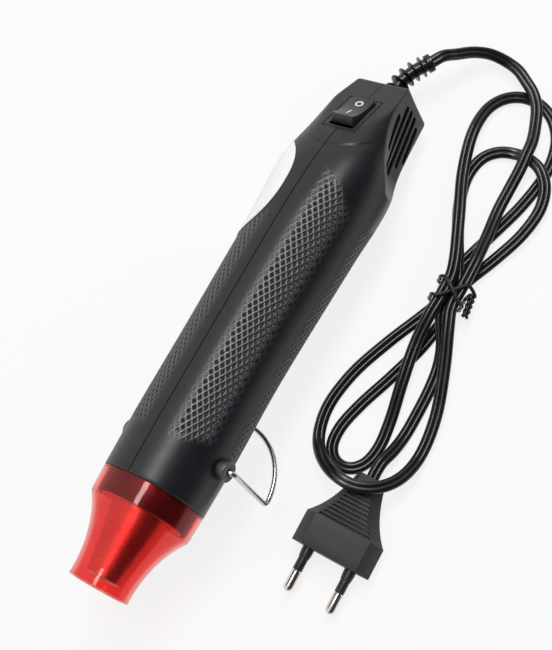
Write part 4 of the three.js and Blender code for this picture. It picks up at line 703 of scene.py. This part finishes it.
def plug_rows():
    """Places along the plug with how deep the grip groove is there."""
    rows = [(y, 0) for y in np.linspace(0, PLUG_STRAIGHT, 4)]
    rows.append((PLUG_STRAIGHT + PLUG_FIRST_STEP, 0))
    for k in range(PLUG_GROOVES):
        start = PLUG_GROOVES_AT + k * PLUG_GROOVE_PITCH
        end = start + PLUG_GROOVE_WIDTH
        rows += [(start, 0), (start + PLUG_GROOVE_LIP, 1), (end - PLUG_GROOVE_LIP, 1), (end, 0)]
    return rows + [(y, 0) for y in np.linspace(rows[-1][0] + PLUG_LAST_STEP, PLUG_LENGTH, 4)]


def plug_section(y, groove):
    wide = taper(y, PLUG_HALF_WIDTH, PLUG_NECK_HALF_WIDTH, PLUG_TAIL_HALF_WIDTH)
    thick = taper(y, PLUG_HALF_THICKNESS, PLUG_NECK_HALF_THICKNESS, PLUG_TAIL_HALF_THICKNESS)
    t = max(0, (y - PLUG_STRAIGHT) / (PLUG_LENGTH - PLUG_STRAIGHT))
    right, left = PLUG_FACETS + (PLUG_TAIL_FACETS - PLUG_FACETS) * t
    floor = thick - groove * PLUG_GROOVE_DEPTH
    top = [(wide, PLUG_SIDE), (wide - right, thick), (wide - right - PLUG_GROOVE_SLOPE, floor), (0, floor),
           (PLUG_GROOVE_SLOPE + left - wide, floor), (left - wide, thick), (-wide, PLUG_SIDE)]
    return [(x, y, z) for x, z in top] + [(-x, y, -z) for x, z in top]


def make_plug():
    solid = lofted([plug_section(y, groove) for y, groove in plug_rows()])
    mesh = bevelled(build_mesh("plug", *placed(plug_points, solid)), PLUG_EDGE, segments=2, angle=24)
    return show("plug", mesh, "plug_black", "plug_body")


def pin_profile():
    shoulder = -SLEEVE_LENGTH - SEAT_GAP
    tip = [(PIN_RADIUS * math.cos(a), PIN_RADIUS * (1 - math.sin(a)) - PIN_LENGTH)
           for a in np.radians(np.linspace(0, 90, 9)[:-1])]
    return [(AXIS_RADIUS, PIN_ROOT), (PIN_CORE_RADIUS, PIN_ROOT), (PIN_CORE_RADIUS, shoulder + PIN_NECK_EDGE),
            (PIN_RADIUS - PIN_EDGE, shoulder), (PIN_RADIUS, shoulder - PIN_EDGE), *tip,
            (AXIS_RADIUS, -PIN_LENGTH)]


def sleeve_profile():
    collar = -SEAT_GAP - SLEEVE_COLLAR_LENGTH
    bore = PIN_CORE_RADIUS + SEAT_GAP
    taper_end = -SEAT_GAP - SLEEVE_TAPER_LENGTH
    return [(bore, 0), (SLEEVE_COLLAR_RADIUS, 0), (SLEEVE_COLLAR_RADIUS, collar),
            (PIN_RADIUS + SLEEVE_TAPER_STEP, taper_end), (PIN_RADIUS, taper_end - PIN_EDGE),
            (PIN_RADIUS, 2 * PIN_EDGE - SLEEVE_LENGTH), (PIN_RADIUS - PIN_EDGE, -SLEEVE_LENGTH),
            (bore, -SLEEVE_LENGTH)]


def make_pins():
    """The plug's pins, each with its sleeve."""
    made = []
    for name, side in (("right", 1), ("left", -1)):
        for piece, profile, slot, node in (("pin", pin_profile(), "nickel", "plug_pin"),
                                           ("sleeve", sleeve_profile(), "gloss_black", "pin_sleeve")):
            points, faces = turned(profile, segments=32)
            solid = plug_points(points + (side * PIN_SPREAD, 0, 0)), faces
            made.append(make(f"{piece}_{name}", solid, slot, f"{node}_{name}"))
    return made


lead, lead_path, lead_length = make_lead()
on_lead = [make_tie(), make_plug(), *make_pins()]
tuple(tool_points(guard_path())[-1])


# Housing skin: a reach from each section's centre, the least of round body, switch panel and vent scoop
def station_value(y, column):
    places, values = STATIONS[:, 0], STATIONS[:, column]
    at = np.arange(len(places))
    before, after = np.maximum(at - 1, 0), np.minimum(at + 1, len(places) - 1)
    slopes = (values[after] - values[before]) / (places[after] - places[before])
    y = np.clip(y, 0, BODY_LENGTH)
    i = np.clip(np.searchsorted(places, y) - 1, 0, len(places) - 2)
    span = places[i + 1] - places[i]
    t = (y - places[i]) / span
    lead_in = t * (1 - t) ** 2 * slopes[i] - t * t * (1 - t) * slopes[i + 1]
    return values[i] + eased(t) * (values[i + 1] - values[i]) + span * lead_in


def body_radius(y):
    return station_value(y, 1)


def body_drop(y):
    return station_value(y, 2)


def panel_height(y):
    return PANEL_HEIGHT - math.tan(PANEL_ANGLE) * (y - PANEL_AT)


def scoop_reach(y):
    lead_in = np.maximum(0, SCOOP_BEND_AT - y) / SCOOP_BEND_LENGTH
    return REAR_HALF_WIDTH + SCOOP_TAPER * (BODY_LENGTH - y) + SCOOP_FLARE * lead_in**2


def soft_least(a, b, blend):
    near = np.maximum(blend - np.abs(a - b), 0) / blend
    return np.minimum(a, b) - near**2 * blend / 4


def round_reach(y, up, side):
    """The round body's reach, its upper half turning squarer along the neck."""
    t = np.clip((y - SQUARE_FROM) / SQUARE_LENGTH, 0, 1)
    power = 2 + (HEAD_SQUARENESS - 2) * eased(t)
    full = (np.maximum(up, 0) ** power + side**power) ** (1 / power)
    return body_radius(y) / np.where(up > 0, full, 1)


def skin_reach(y, angle, inset=0):
    level = 0.05
    up, side = np.cos(angle), np.abs(np.sin(angle))
    reach = round_reach(y, up, side) - inset
    panel = (panel_height(y) + body_drop(y) - inset) / np.maximum(up, level)
    reach = np.where(up > level, soft_least(reach, panel, PANEL_BLEND), reach)
    ahead = SCOOP_LEAN_AT - y
    lean = SCOOP_LEAN * (ahead + np.sqrt(ahead**2 + SCOOP_LEAN_BLEND**2)) / 2 * np.maximum(0, up)
    scoop = (scoop_reach(y) + lean - inset) / np.maximum(side, level)
    reach = np.where(side > level, soft_least(reach, scoop, SCOOP_BLEND), reach)
    into = np.maximum(0, y - (BODY_LENGTH - REAR_EDGE_ROUND))
    return reach - REAR_EDGE_ROUND + np.sqrt(np.maximum(0, REAR_EDGE_ROUND**2 - into**2))


def skin_points(y, angle, reach, side, least=0):
    """Points at the reach from a section's centre, no nearer to the parting plane than the least."""
    x = side * np.maximum(least, reach * np.sin(angle))
    return np.stack([x, np.full(len(x), y), -body_drop(y) + reach * np.cos(angle)], axis=1)


def lip_depth(y, angle):
    """How far the neck lies below the switch panel just in front of the panel's bowed front edge."""
    degrees = np.degrees(angle)
    ahead = LIP_AT + LIP_BOW * degrees**2 - y
    fall = np.clip(ahead / LIP_EDGE, 0, 1) * np.clip(1 - ahead / LIP_LENGTH, 0, 1) ** 2
    return LIP_DEPTH * fall * np.clip((LIP_END_ANGLE - degrees) / LIP_FADE_ANGLE, 0, 1)


def side_reach(y, z):
    """How far the plain body and the scoop reach to the side at a height, without the panel."""
    round_side = math.sqrt(max(1, float(body_radius(y)) ** 2 - (z + float(body_drop(y))) ** 2))
    return min(round_side, float(scoop_reach(y)))


def knurl_cover(y, angle, side):
    """How much of the knurl shows: 1 inside a panel, fading to 0 at its edges and at the label."""
    degrees = np.degrees(angle)
    cover = np.zeros(len(angle))
    for number, (first, last) in enumerate(KNURL_PANELS[side]):
        share = np.clip((degrees - first) / (last - first), 0, 1)
        across = np.radians(np.minimum(degrees - first, last - degrees)) * KNURL_RADIUS
        slant = share if number == 0 else 1 - share
        start = KNURL_FROM + KNURL_START_SLANT * slant**2
        end = KNURL_TO[side] - KNURL_END_SLANT * slant**1.5
        inside = np.minimum(across, np.minimum(y - start, end - y))
        cover = np.maximum(cover, np.clip(inside / KNURL_FADE, 0, 1))
    if side < 0:
        off_label = (np.abs((y - LABEL_AT) / LABEL_HALF_LENGTH) ** LABEL_FULLNESS
                     + np.abs((degrees - LABEL_ANGLE) / LABEL_HALF_ANGLE) ** LABEL_FULLNESS)
        cover = cover * np.clip(KNURL_LABEL_SLOPE * (off_label - 1), 0, 1)
    return eased(cover)


def line_distance(y, angle):
    """Distance to the nearest raised line of two crossing families, 0.5 in the middle of a pocket."""
    along, across = y / KNURL_LENGTH, KNURL_AROUND * angle / np.pi
    return np.minimum(*(np.abs(f - np.round(f)) for f in (along + across, along - across)))


def housing_rows():
    """Places along the tool with outer and inner reach, each None where it is the skin's or the wall's."""
    front = STATIONS[0, 1]
    collar = [(-SPIGOT_LENGTH, SPIGOT_RADIUS - SPIGOT_EDGE), (SPIGOT_EDGE - SPIGOT_LENGTH, SPIGOT_RADIUS),
              (0, SPIGOT_RADIUS), (0, front - FRONT_EDGE), (FRONT_EDGE / 3, front - FRONT_EDGE / 3)]
    collar += [(y, None) for y in np.linspace(FRONT_EDGE, SPIGOT_DEPTH, 5)]
    fine = KNURL_LENGTH / KNURL_FINENESS
    first = math.ceil(KNURL_FROM / fine)
    walls = [*np.linspace(SPIGOT_DEPTH, first * fine, 10, endpoint=False)[1:],
             *(k * fine for k in range(first, math.ceil(KNURL_TO[1] / fine))),
             *np.arange(KNURL_TO[1] + HEAD_STEP, BODY_LENGTH - WALL, HEAD_STEP)]
    end = BODY_LENGTH - REAR_EDGE_ROUND * np.cos(np.linspace(0, np.pi / 2, 7))
    return [(y, reach, SPIGOT_BORE) for y, reach in collar] + [(y, None, None) for y in walls] + [
        (y, None, 0) for y in end]


def housing_shell(side):
    """One half of the housing: at each place an outer arc, an inner arc back, and a flat at the parting."""
    lip = math.degrees(PARTING_GROOVE_WIDTH / KNURL_RADIUS)
    steps = KNURL_AROUND * KNURL_FINENESS
    outer = np.radians([0, lip, *(180 * k / steps for k in range(1, steps)), 180 - lip, 180])
    inner = np.radians(np.linspace(180, 0, 25))
    angle = np.concatenate([outer, inner])
    groove = np.zeros(len(outer))
    groove[[0, -1]] = PARTING_GROOVE
    points, ridges = [], []
    for y, outer_reach, inner_reach in housing_rows():
        ridge = np.zeros(len(outer))
        if outer_reach is None:
            reach = skin_reach(y, outer) - groove - lip_depth(y, outer)
        else:
            reach = np.full(len(outer), float(outer_reach))
            # The spigot and front rim rows take the full ridge share, so they are painted paler like the raised
            # lines, as a highlight
            ridge += 1
        if KNURL_FROM <= y <= KNURL_TO[side]:
            cover = knurl_cover(y, outer, side)
            off_line = line_distance(y, outer)
            reach = reach + KNURL_DEPTH * cover * (np.interp(off_line, *KNURL_PROFILE) - 1)
            # Raised lines get the ridge share that the housing's material paints paler as a highlight
            ridge = cover * np.interp(off_line, *KNURL_LINE)
        back = skin_reach(y, inner, WALL) if inner_reach is None else np.full(len(inner), float(inner_reach))
        ridges += [ridge, np.zeros(len(inner))]
        reach = np.concatenate([reach, back])
        points.append(skin_points(y, angle, reach, side, PARTING_GAP))
    faces = grid_faces(len(points), len(angle), around=True)
    last = (len(points) - 1) * len(angle)
    faces += [list(range(len(angle))), list(range(last, last + len(outer) + 1))]
    return np.vstack(points), faces, np.concatenate(ridges)


def block(x0, x1, y0, y1, z0, z1):
    corners = np.array([(x, y, z) for x in (x0, x1) for y in (y0, y1) for z in (z0, z1)], float)
    faces = [(0, 1, 3, 2), (4, 6, 7, 5), (0, 4, 5, 1), (2, 3, 7, 6), (0, 2, 6, 4), (1, 5, 7, 3)]
    return corners, [list(face) for face in faces]


def along_x(path, sections):
    """A solid through outlines of (y, z) on a path along x."""
    frames = [np.tile(axis, (len(path), 1)) for axis in ((0, 1, 0), (0, 0, 1))]
    return swept(np.array(path, float), frames, np.array(sections))


def across_rod(radius, y, z, x0, x1, edge=0):
    """A rod along x, with its far end rounded by the given edge."""
    reach = [(x0, radius), (x1 - math.copysign(edge, x1 - x0), radius)]
    if edge:
        reach += [(x1 - math.copysign(edge * (1 - math.sin(a)), x1 - x0), radius - edge * (1 - math.cos(a)))
                  for a in np.radians((30, 60, 90))]
    return along_x([(x, y, z) for x, _ in reach], [circle(32, r) for _, r in reach])


def slot_cutter(side, z, y0, y1):
    half = SLOT_WIDTH / 2
    outline = arc((y1 - half, z), half, -90, 90, 8) + arc((y0 + half, z), half, 90, 270, 8)
    return along_x([(side * SLOT_INNER, 0, 0), (side * SLOT_OUTER, 0, 0)], outline)


SWITCH_FRAME = (Matrix.Translation((0, SWITCH_AT, panel_height(SWITCH_AT)))
                @ Matrix.Rotation(-PANEL_ANGLE, 4, "X"))


def on_panel(points):
    """Points of the switch's frame, with z out of the panel, in the tool's frame."""
    turn = np.array(SWITCH_FRAME)
    return np.asarray(points, float) @ turn[:3, :3].T + turn[:3, 3]


def housing_steps(side):
    """What is joined to a half and what is cut from it, as (kind, mesh)."""
    outside = 2 * STAND_BOSS_END
    added = [across_rod(STAND_BOSS_RADIUS, STAND_AT, 0, side * STAND_BOSS_ROOT, side * STAND_BOSS_END,
                        edge=STAND_BOSS_EDGE)]
    wide, long = FLANGE_WIDTH / 2 + WINDOW_GAP, FLANGE_LENGTH / 2 + WINDOW_GAP
    window = block(-wide, wide, -long, long, -SWITCH_DEPTH, 2 * WALL)
    gland = np.array([(0, BODY_LENGTH + y, GLAND_HEIGHT) for y in (-2 * WALL, WALL)])
    removed = [slot_cutter(side, *slot) for slot in SLOTS]
    removed += [placed(on_panel, window), rod(gland, sides=40, radius=GLAND_HOLE_RADIUS)]
    removed.append(across_rod(STAND_WIRE_RADIUS + SEAT_GAP, STAND_AT, 0,
                              side * (STAND_BOSS_END - STAND_HOLE_DEPTH), side * outside))
    wells = []
    for y, z in SCREW_PLACES if side < 0 else ():
        pillar = SCREW_HEAD_RADIUS + SEAT_GAP + SCREW_WELL
        added.append(across_rod(pillar, y, z, -1, WALL / 2 - side_reach(y, z + math.copysign(pillar, z))))
        gap, mouth = SEAT_GAP, outside
        if z > 0:
            gap, mouth = SCREW_CAP_GAP, SCREW_HEAD_AT + SCREW_HEAD_THICKNESS + SCREW_CAP_GAP
        wells.append(across_rod(SCREW_HEAD_RADIUS + gap, y, z, SEAT_GAP - SCREW_HEAD_AT, -mouth))
    groups = (("UNION", added), ("DIFFERENCE", removed), ("DIFFERENCE", wells))
    return [(kind, joined("tool", [placed(tool_points, part) for part in parts]))
            for kind, parts in groups if parts]


def make_housing(name, side):
    points, faces, ridge = housing_shell(side)
    shell = build_mesh(f"shell_{name}", tool_points(points), faces, ridge)
    mesh = mended(carved(shell, *housing_steps(side)), CUT_MERGE, drop_spare_points)
    return show(f"shell_{name}", mesh, "housing_black", f"housing_{name}", sharp=50)


make_housing("right", 1)
make_housing("left", -1)


# Hood and heat tube
def hood_curve(inset, steps=24):
    start = np.array((HOOD_SHOULDER_RADIUS - inset, -HOOD_SHOULDER_AT - inset / 4))
    middle = np.array((HOOD_THROAT_RADIUS - inset, -HOOD_THROAT_AT))
    end = np.array((HOOD_RIM_RADIUS - inset, -HOOD_LENGTH))
    return bent(np.linspace(0, 1, steps + 1)[:, None], start, middle, end)


def rounded_corner(curve, before, reach, steps=4):
    """The curve with the corner at its start, reached from the point before, rounded off."""
    corner = curve[0]
    rest = [point for point in curve[1:] if np.linalg.norm(point - corner) > reach]
    start, end = (corner + reach * unit(point - corner) for point in (before, rest[0]))
    return [bent(t, start, corner, end) for t in np.linspace(0, 1, steps + 1)] + rest


def make_hood():
    rear = [(HOOD_JOINT_RADIUS - HOOD_WALL, -HOOD_GAP), (HOOD_JOINT_RADIUS - HOOD_EDGE, -HOOD_GAP),
            (HOOD_JOINT_RADIUS, -HOOD_GAP - HOOD_EDGE)]
    outer = rounded_corner(hood_curve(0), rear[2], HOOD_SHOULDER_ROUND)
    inner = rounded_corner(hood_curve(HOOD_WALL), rear[0], HOOD_SHOULDER_ROUND / 2)[::-1]
    outer_rim, inner_rim = outer[-1][0], inner[0][0]
    outer[-1] = (outer_rim, HOOD_RIM - HOOD_LENGTH)
    inner[0] = (inner_rim, HOOD_RIM - HOOD_LENGTH)
    lip = [(outer_rim - HOOD_RIM, -HOOD_LENGTH), (inner_rim + HOOD_RIM, -HOOD_LENGTH)]
    solid = turned([*rear, *outer, *lip, *inner], segments=96)
    return make("hood", placed(tool_points, solid), "red_clear", "nozzle_shroud", sharp=30)


def make_heat_tube():
    def radius(y):
        t = (y + TUBE_REAR) / (TUBE_REAR - TUBE_FRONT)
        return TUBE_REAR_RADIUS + t * (TUBE_FRONT_RADIUS - TUBE_REAR_RADIUS)

    lip = -TUBE_REAR - 2 * TUBE_WALL
    roll = TUBE_ROLL - TUBE_FRONT
    outer = [(radius(y), y) for y in np.linspace(lip, roll, 12)]
    rolled = arc((TUBE_FRONT_RADIUS - TUBE_WALL / 2, roll), TUBE_ROLL, 0, -180, 8)
    inner = [(radius(y) - TUBE_WALL, y) for y in np.linspace(roll + TUBE_ROLL / 2, -TUBE_REAR, 8)]
    flange = [(TUBE_FLANGE_RADIUS, -TUBE_REAR), (TUBE_FLANGE_RADIUS, lip)]
    solid = turned([*flange, *outer, *rolled, *inner], segments=72)
    return make("heater_cone", placed(tool_points, solid), "bare_steel", "heat_tube")


make_hood()
make_heat_tube()


# Switch: a frame with a pocket, the rocker in it, and its two marks
def rounded_rectangle(half_width, half_length, corner, z, steps=6):
    corners = ((1, 1, 0), (-1, 1, 90), (-1, -1, 180), (1, -1, 270))
    outline = []
    for x, y, start in corners:
        centre = (x * (half_width - corner), y * (half_length - corner))
        outline += [(*point, z) for point in arc(centre, corner, start, start + 90, steps)]
    return outline


def make_switch_frame():
    wide, long = FLANGE_WIDTH / 2, FLANGE_LENGTH / 2
    inner_wide, inner_long = ROCKER_WIDTH / 2 + POCKET_SIDE_GAP, ROCKER_LENGTH / 2 + POCKET_END_GAP
    edge = FLANGE_EDGE
    rows = [rounded_rectangle(wide - inset, long - inset, FLANGE_CORNER - inset, z)
            for inset, z in ((0, 1 - SWITCH_DEPTH), (0, -edge), (edge / 3, -edge / 3), (edge, 0))]
    rows += [rounded_rectangle(inner_wide + widening, inner_long + widening, edge + widening, z)
             for widening, z in ((edge, 0), (0, -edge), (0, -POCKET_DEPTH))]
    solid = placed(tool_points, placed(on_panel, lofted(rows)))
    return make("switch_frame", solid, "housing_black", "switch_body")


def rocker_top(y):
    """Height of the rocker's dished top at y along it, before it is tilted."""
    t = abs(y) / (ROCKER_LENGTH / 2)
    return ROCKER_MIDDLE_HEIGHT + (ROCKER_END_HEIGHT - ROCKER_MIDDLE_HEIGHT) * t * t


def tilted(points):
    """Points of the rocker, turned about its pivot and set in the tool's frame."""
    turn = np.array(Matrix.Rotation(-ROCKER_TILT, 3, "X"))
    pivot = np.array((0, 0, -ROCKER_PIVOT_DEPTH))
    return tool_points(on_panel((np.asarray(points, float) - pivot) @ turn.T + pivot))


def make_rocker():
    half = ROCKER_LENGTH / 2
    top = [(y, rocker_top(y)) for y in np.linspace(-half, half, 25)]
    under = [(y, -ROCKER_PIVOT_DEPTH / 2 - (ROCKER_DEPTH - ROCKER_PIVOT_DEPTH / 2) * (1 - (y / half) ** 2))
             for y in np.linspace(half, -half, 13)]
    outline = top + under
    wide = ROCKER_WIDTH / 2
    solid = lofted([[(x, y, z) for y, z in outline] for x in (-wide, wide)])
    mesh = bevelled(build_mesh("rocker", *placed(tilted, solid)), ROCKER_EDGE, segments=3, angle=40)
    return show("rocker", mesh, "gloss_black", "rocker_button", body="rocker", sharp=45)


def on_rocker(points, lift):
    """Marks' points (x, y) laid on the rocker's top, lifted by the given height."""
    return [(x, y, rocker_top(y) + lift) for x, y in points]


def ring_mark(centre=4.4, radius=1.4, half_line=0.34, sides=40):
    inner, outer, rise = radius - half_line, radius + half_line, MARK_RISE
    points = [point for r, lift in ((inner, -rise), (inner, rise), (outer, rise), (outer, -rise))
              for point in on_rocker(circle(sides, r) + (0, centre), lift)]
    return points, grid_faces(4, sides, around=True, along=True)


def bar_mark(centre=-3.2, half_length=1.8, half_width=0.3):
    return lofted([[*on_rocker([(-half_width, y), (half_width, y)], MARK_RISE),
                    *on_rocker([(half_width, y), (-half_width, y)], -MARK_RISE)]
                   for y in np.linspace(centre - half_length, centre + half_length, 9)])


make_switch_frame()
make_rocker()
for mark_name, mark in (("off_mark", ring_mark()), ("on_mark", bar_mark())):
    make(mark_name, placed(tilted, mark), "white_plastic", body="rocker", look="mark_white")


# Guard, stand, screws and label
def make_guard():
    path = guard_path(per_span=40)
    reach = distances(path)
    length = reach[-1]
    rise = 0.3

    def ring(centre, thickness, radius):
        """A rib's radius along the sleeve, with sloping sides."""
        return np.interp(np.abs(reach - centre), (thickness / 2 - rise / 2, thickness / 2 + rise / 2),
                         (radius, GUARD_RADIUS))

    radius = np.full(len(path), float(GUARD_RADIUS))
    for share in np.linspace(GUARD_FIRST_RIB, GUARD_LAST_RIB, GUARD_RIBS):
        radius = np.maximum(radius, ring(share * length, GUARD_RIB_THICKNESS, GUARD_RIB_RADIUS))
    radius = np.maximum(radius, ring(length - GUARD_TIP_LENGTH / 2, GUARD_TIP_LENGTH, GUARD_TIP_RADIUS))
    radius[-1] -= rise
    radius[reach < GLAND_END] = GLAND_RADIUS
    path = tool_points(np.vstack([(0, BODY_LENGTH - 2 * WALL, GLAND_HEIGHT), path]))
    sections = MM * np.concatenate([radius[:1], radius])[:, None, None] * circle(36)
    solid = swept(path, carried_frames(path), sections)
    return make("guard", solid, "cord_black", "strain_relief", sharp=40)


def stand_path():
    """Pins in the bosses, straight legs with small bends, and a half round foot."""
    wide, low = STAND_HALF_WIDTH, -STAND_LEG
    pin_end = STAND_BOSS_END - STAND_HOLE_DEPTH + SEAT_GAP
    upper = arc((wide - STAND_BEND, -STAND_BEND), STAND_BEND, 90, 0, 10)
    leg = [(x, 0, 0) for x in np.linspace(pin_end, wide - STAND_BEND, 4)[:-1]]
    leg += [(x, 0, z) for x, z in upper]
    leg += [(wide, 0, z) for z in np.linspace(-STAND_BEND, low + STAND_BEND, 6)[1:-1]]
    lower = arc((STAND_BEND, low + STAND_BEND), STAND_BEND, 180, 270, 10)
    first = STAND_BEND / wide
    leg += [(wide * math.cos(s / wide), wide * math.sin(s / wide), z) for s, z in lower]
    turn = np.linspace(first, math.pi - first, 61)[1:-1]
    foot = [(wide * math.cos(a), wide * math.sin(a), low) for a in turn]
    other = [(-x, y, z) for x, y, z in leg[::-1]]
    return np.array(leg + foot + other) + (0, STAND_AT, 0)


def make_stand():
    solid = rod(tool_points(stand_path()), sides=16, radius=MM * STAND_WIRE_RADIUS)
    return make("stand_wire", solid, "stand_steel", "wire_stand", body="stand")


def make_screw(number, y, z):
    """A round head with a cross recess."""
    slot, arm, deep = 0.35, 1.6, 1.1
    far = -SCREW_HEAD_AT - SCREW_HEAD_THICKNESS
    head = across_rod(SCREW_HEAD_RADIUS, y, z, -SCREW_HEAD_AT, far, edge=SCREW_HEAD_EDGE)
    mesh = build_mesh(f"screw_{number}", *placed(tool_points, head))
    arms = [block(far - 1, far + deep, y - wide, y + wide, z - high, z + high)
            for wide, high in ((arm, slot), (slot, arm))]
    mesh = carved(mesh, *(("DIFFERENCE", build_mesh("recess", *placed(tool_points, part))) for part in arms))
    return show(f"screw_{number}", mesh, "nickel", f"housing_screw_{number}")


def make_label():
    """A sheet on the skin: at each place along it a row of points below and a row back above."""
    rows, columns = 48, 48
    below, above = LABEL_LIFT
    rings = []
    for along in LABEL_END * np.sin(np.linspace(-np.pi / 2, np.pi / 2, rows + 1)):
        y = LABEL_AT + LABEL_HALF_LENGTH * along
        width = LABEL_HALF_ANGLE * (1 - abs(along) ** LABEL_FULLNESS) ** (1 / LABEL_FULLNESS)
        angle = np.radians(np.linspace(LABEL_ANGLE - width, LABEL_ANGLE + width, columns + 1))
        reach = skin_reach(y, angle)
        reach, angle = np.r_[reach + below, reach[::-1] + above], np.r_[angle, angle[::-1]]
        rings.append(skin_points(y, angle, reach, -1))
    count = 2 * (columns + 1)
    faces = grid_faces(rows + 1, count, around=True)
    for start, end in ((0, count - 1), (rows * count, rows * count + count - 1)):
        faces += [[start + j, start + j + 1, end - j - 1, end - j] for j in range(columns)]
    return make("label", (tool_points(np.vstack(rings)), faces), "label_white", "rating_label")


make_guard()
make_stand()
for number, (screw_y, screw_z) in enumerate(SCREW_PLACES, start=1):
    make_screw(number, screw_y, screw_z)
make_label()

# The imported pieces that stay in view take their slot's material
SLOT_OF_NODE = {part["node"]: part["material_slot"] for part in frame["record"]["subparts"]}
for node_name, node in frame["nodes"].items():
    node.data.materials.clear()
    node.data.materials.append(LOOKS[SLOT_OF_NODE[node_name]].material)


# Floor, light and background
def make_floor():
    look = Look("floor")
    shades = [(FLOOR_COLOUR + paler,) * 3 for paler in (0, FLOOR_CLOUDS)]
    look.set(Base_Color=look.colour(look.noise(300), *shades), Roughness=FLOOR_ROUGHNESS)
    share = look.node("ShaderNodeMath", {0: look.seen_directly(), 1: FLOOR_GLOW}, operation="MULTIPLY")
    look.give_way(share.outputs["Value"], look.node("ShaderNodeEmission").outputs["Emission"])
    mesh = bpy.data.meshes.new("floor")
    corners = [(x * FLOOR_HALF_SIZE, y * FLOOR_HALF_SIZE, 0) for x, y in ((-1, -1), (1, -1), (1, 1), (-1, 1))]
    mesh.from_pydata(corners, [], [(0, 1, 2, 3)])
    mesh.materials.append(look.material)
    loose_object("floor", mesh)


def make_world():
    """Plain light from all round, white to the camera; mirrors see it white low and left, dim overhead."""
    world = bpy.data.worlds.new("studio")
    world.use_nodes = True
    scene.world = world
    studio = Nodes(world.node_tree)
    place = studio.node("ShaderNodeTexCoord").outputs["Generated"]
    way = studio.node("ShaderNodeSeparateXYZ", {"Vector": place})

    def fading(axis, start, end):
        """White up to the start, falling to the ceiling's strength at the end."""
        limits = {"From Min": start, "From Max": end, "To Min": 1, "To Max": CEILING_STRENGTH}
        return studio.node("ShaderNodeMapRange", {"Value": way.outputs[axis], **limits}).outputs["Result"]

    white = studio.most_of(fading("Z", 0, CEILING_FROM), fading("X", WALL_FROM, WALL_TO),
                           studio.node("ShaderNodeLightPath").outputs["Is Camera Ray"])
    seen = studio.seen_directly()
    strength = studio.node("ShaderNodeMapRange", {"Value": seen, "To Min": WORLD_STRENGTH, "To Max": white})
    background = studio.tree.nodes["Background"].inputs
    studio.feed(background["Color"], (1, 1, 1, 1))
    studio.feed(background["Strength"], strength.outputs["Result"])


def make_lamps():
    """Soft lamps turned to the origin, their long side along y."""
    for name, place, width, length, power in LAMPS:
        data = bpy.data.lights.new(name, "AREA")
        data.shape = "RECTANGLE"
        data.size, data.size_y = width, length
        data.energy = power
        back = Vector(place).normalized()
        side = Vector((0, 1, 0)).cross(back).normalized()
        stood(name, data, place, side, back.cross(side))


make_floor()
make_world()
make_lamps()
scene.view_settings.view_transform = "Standard"
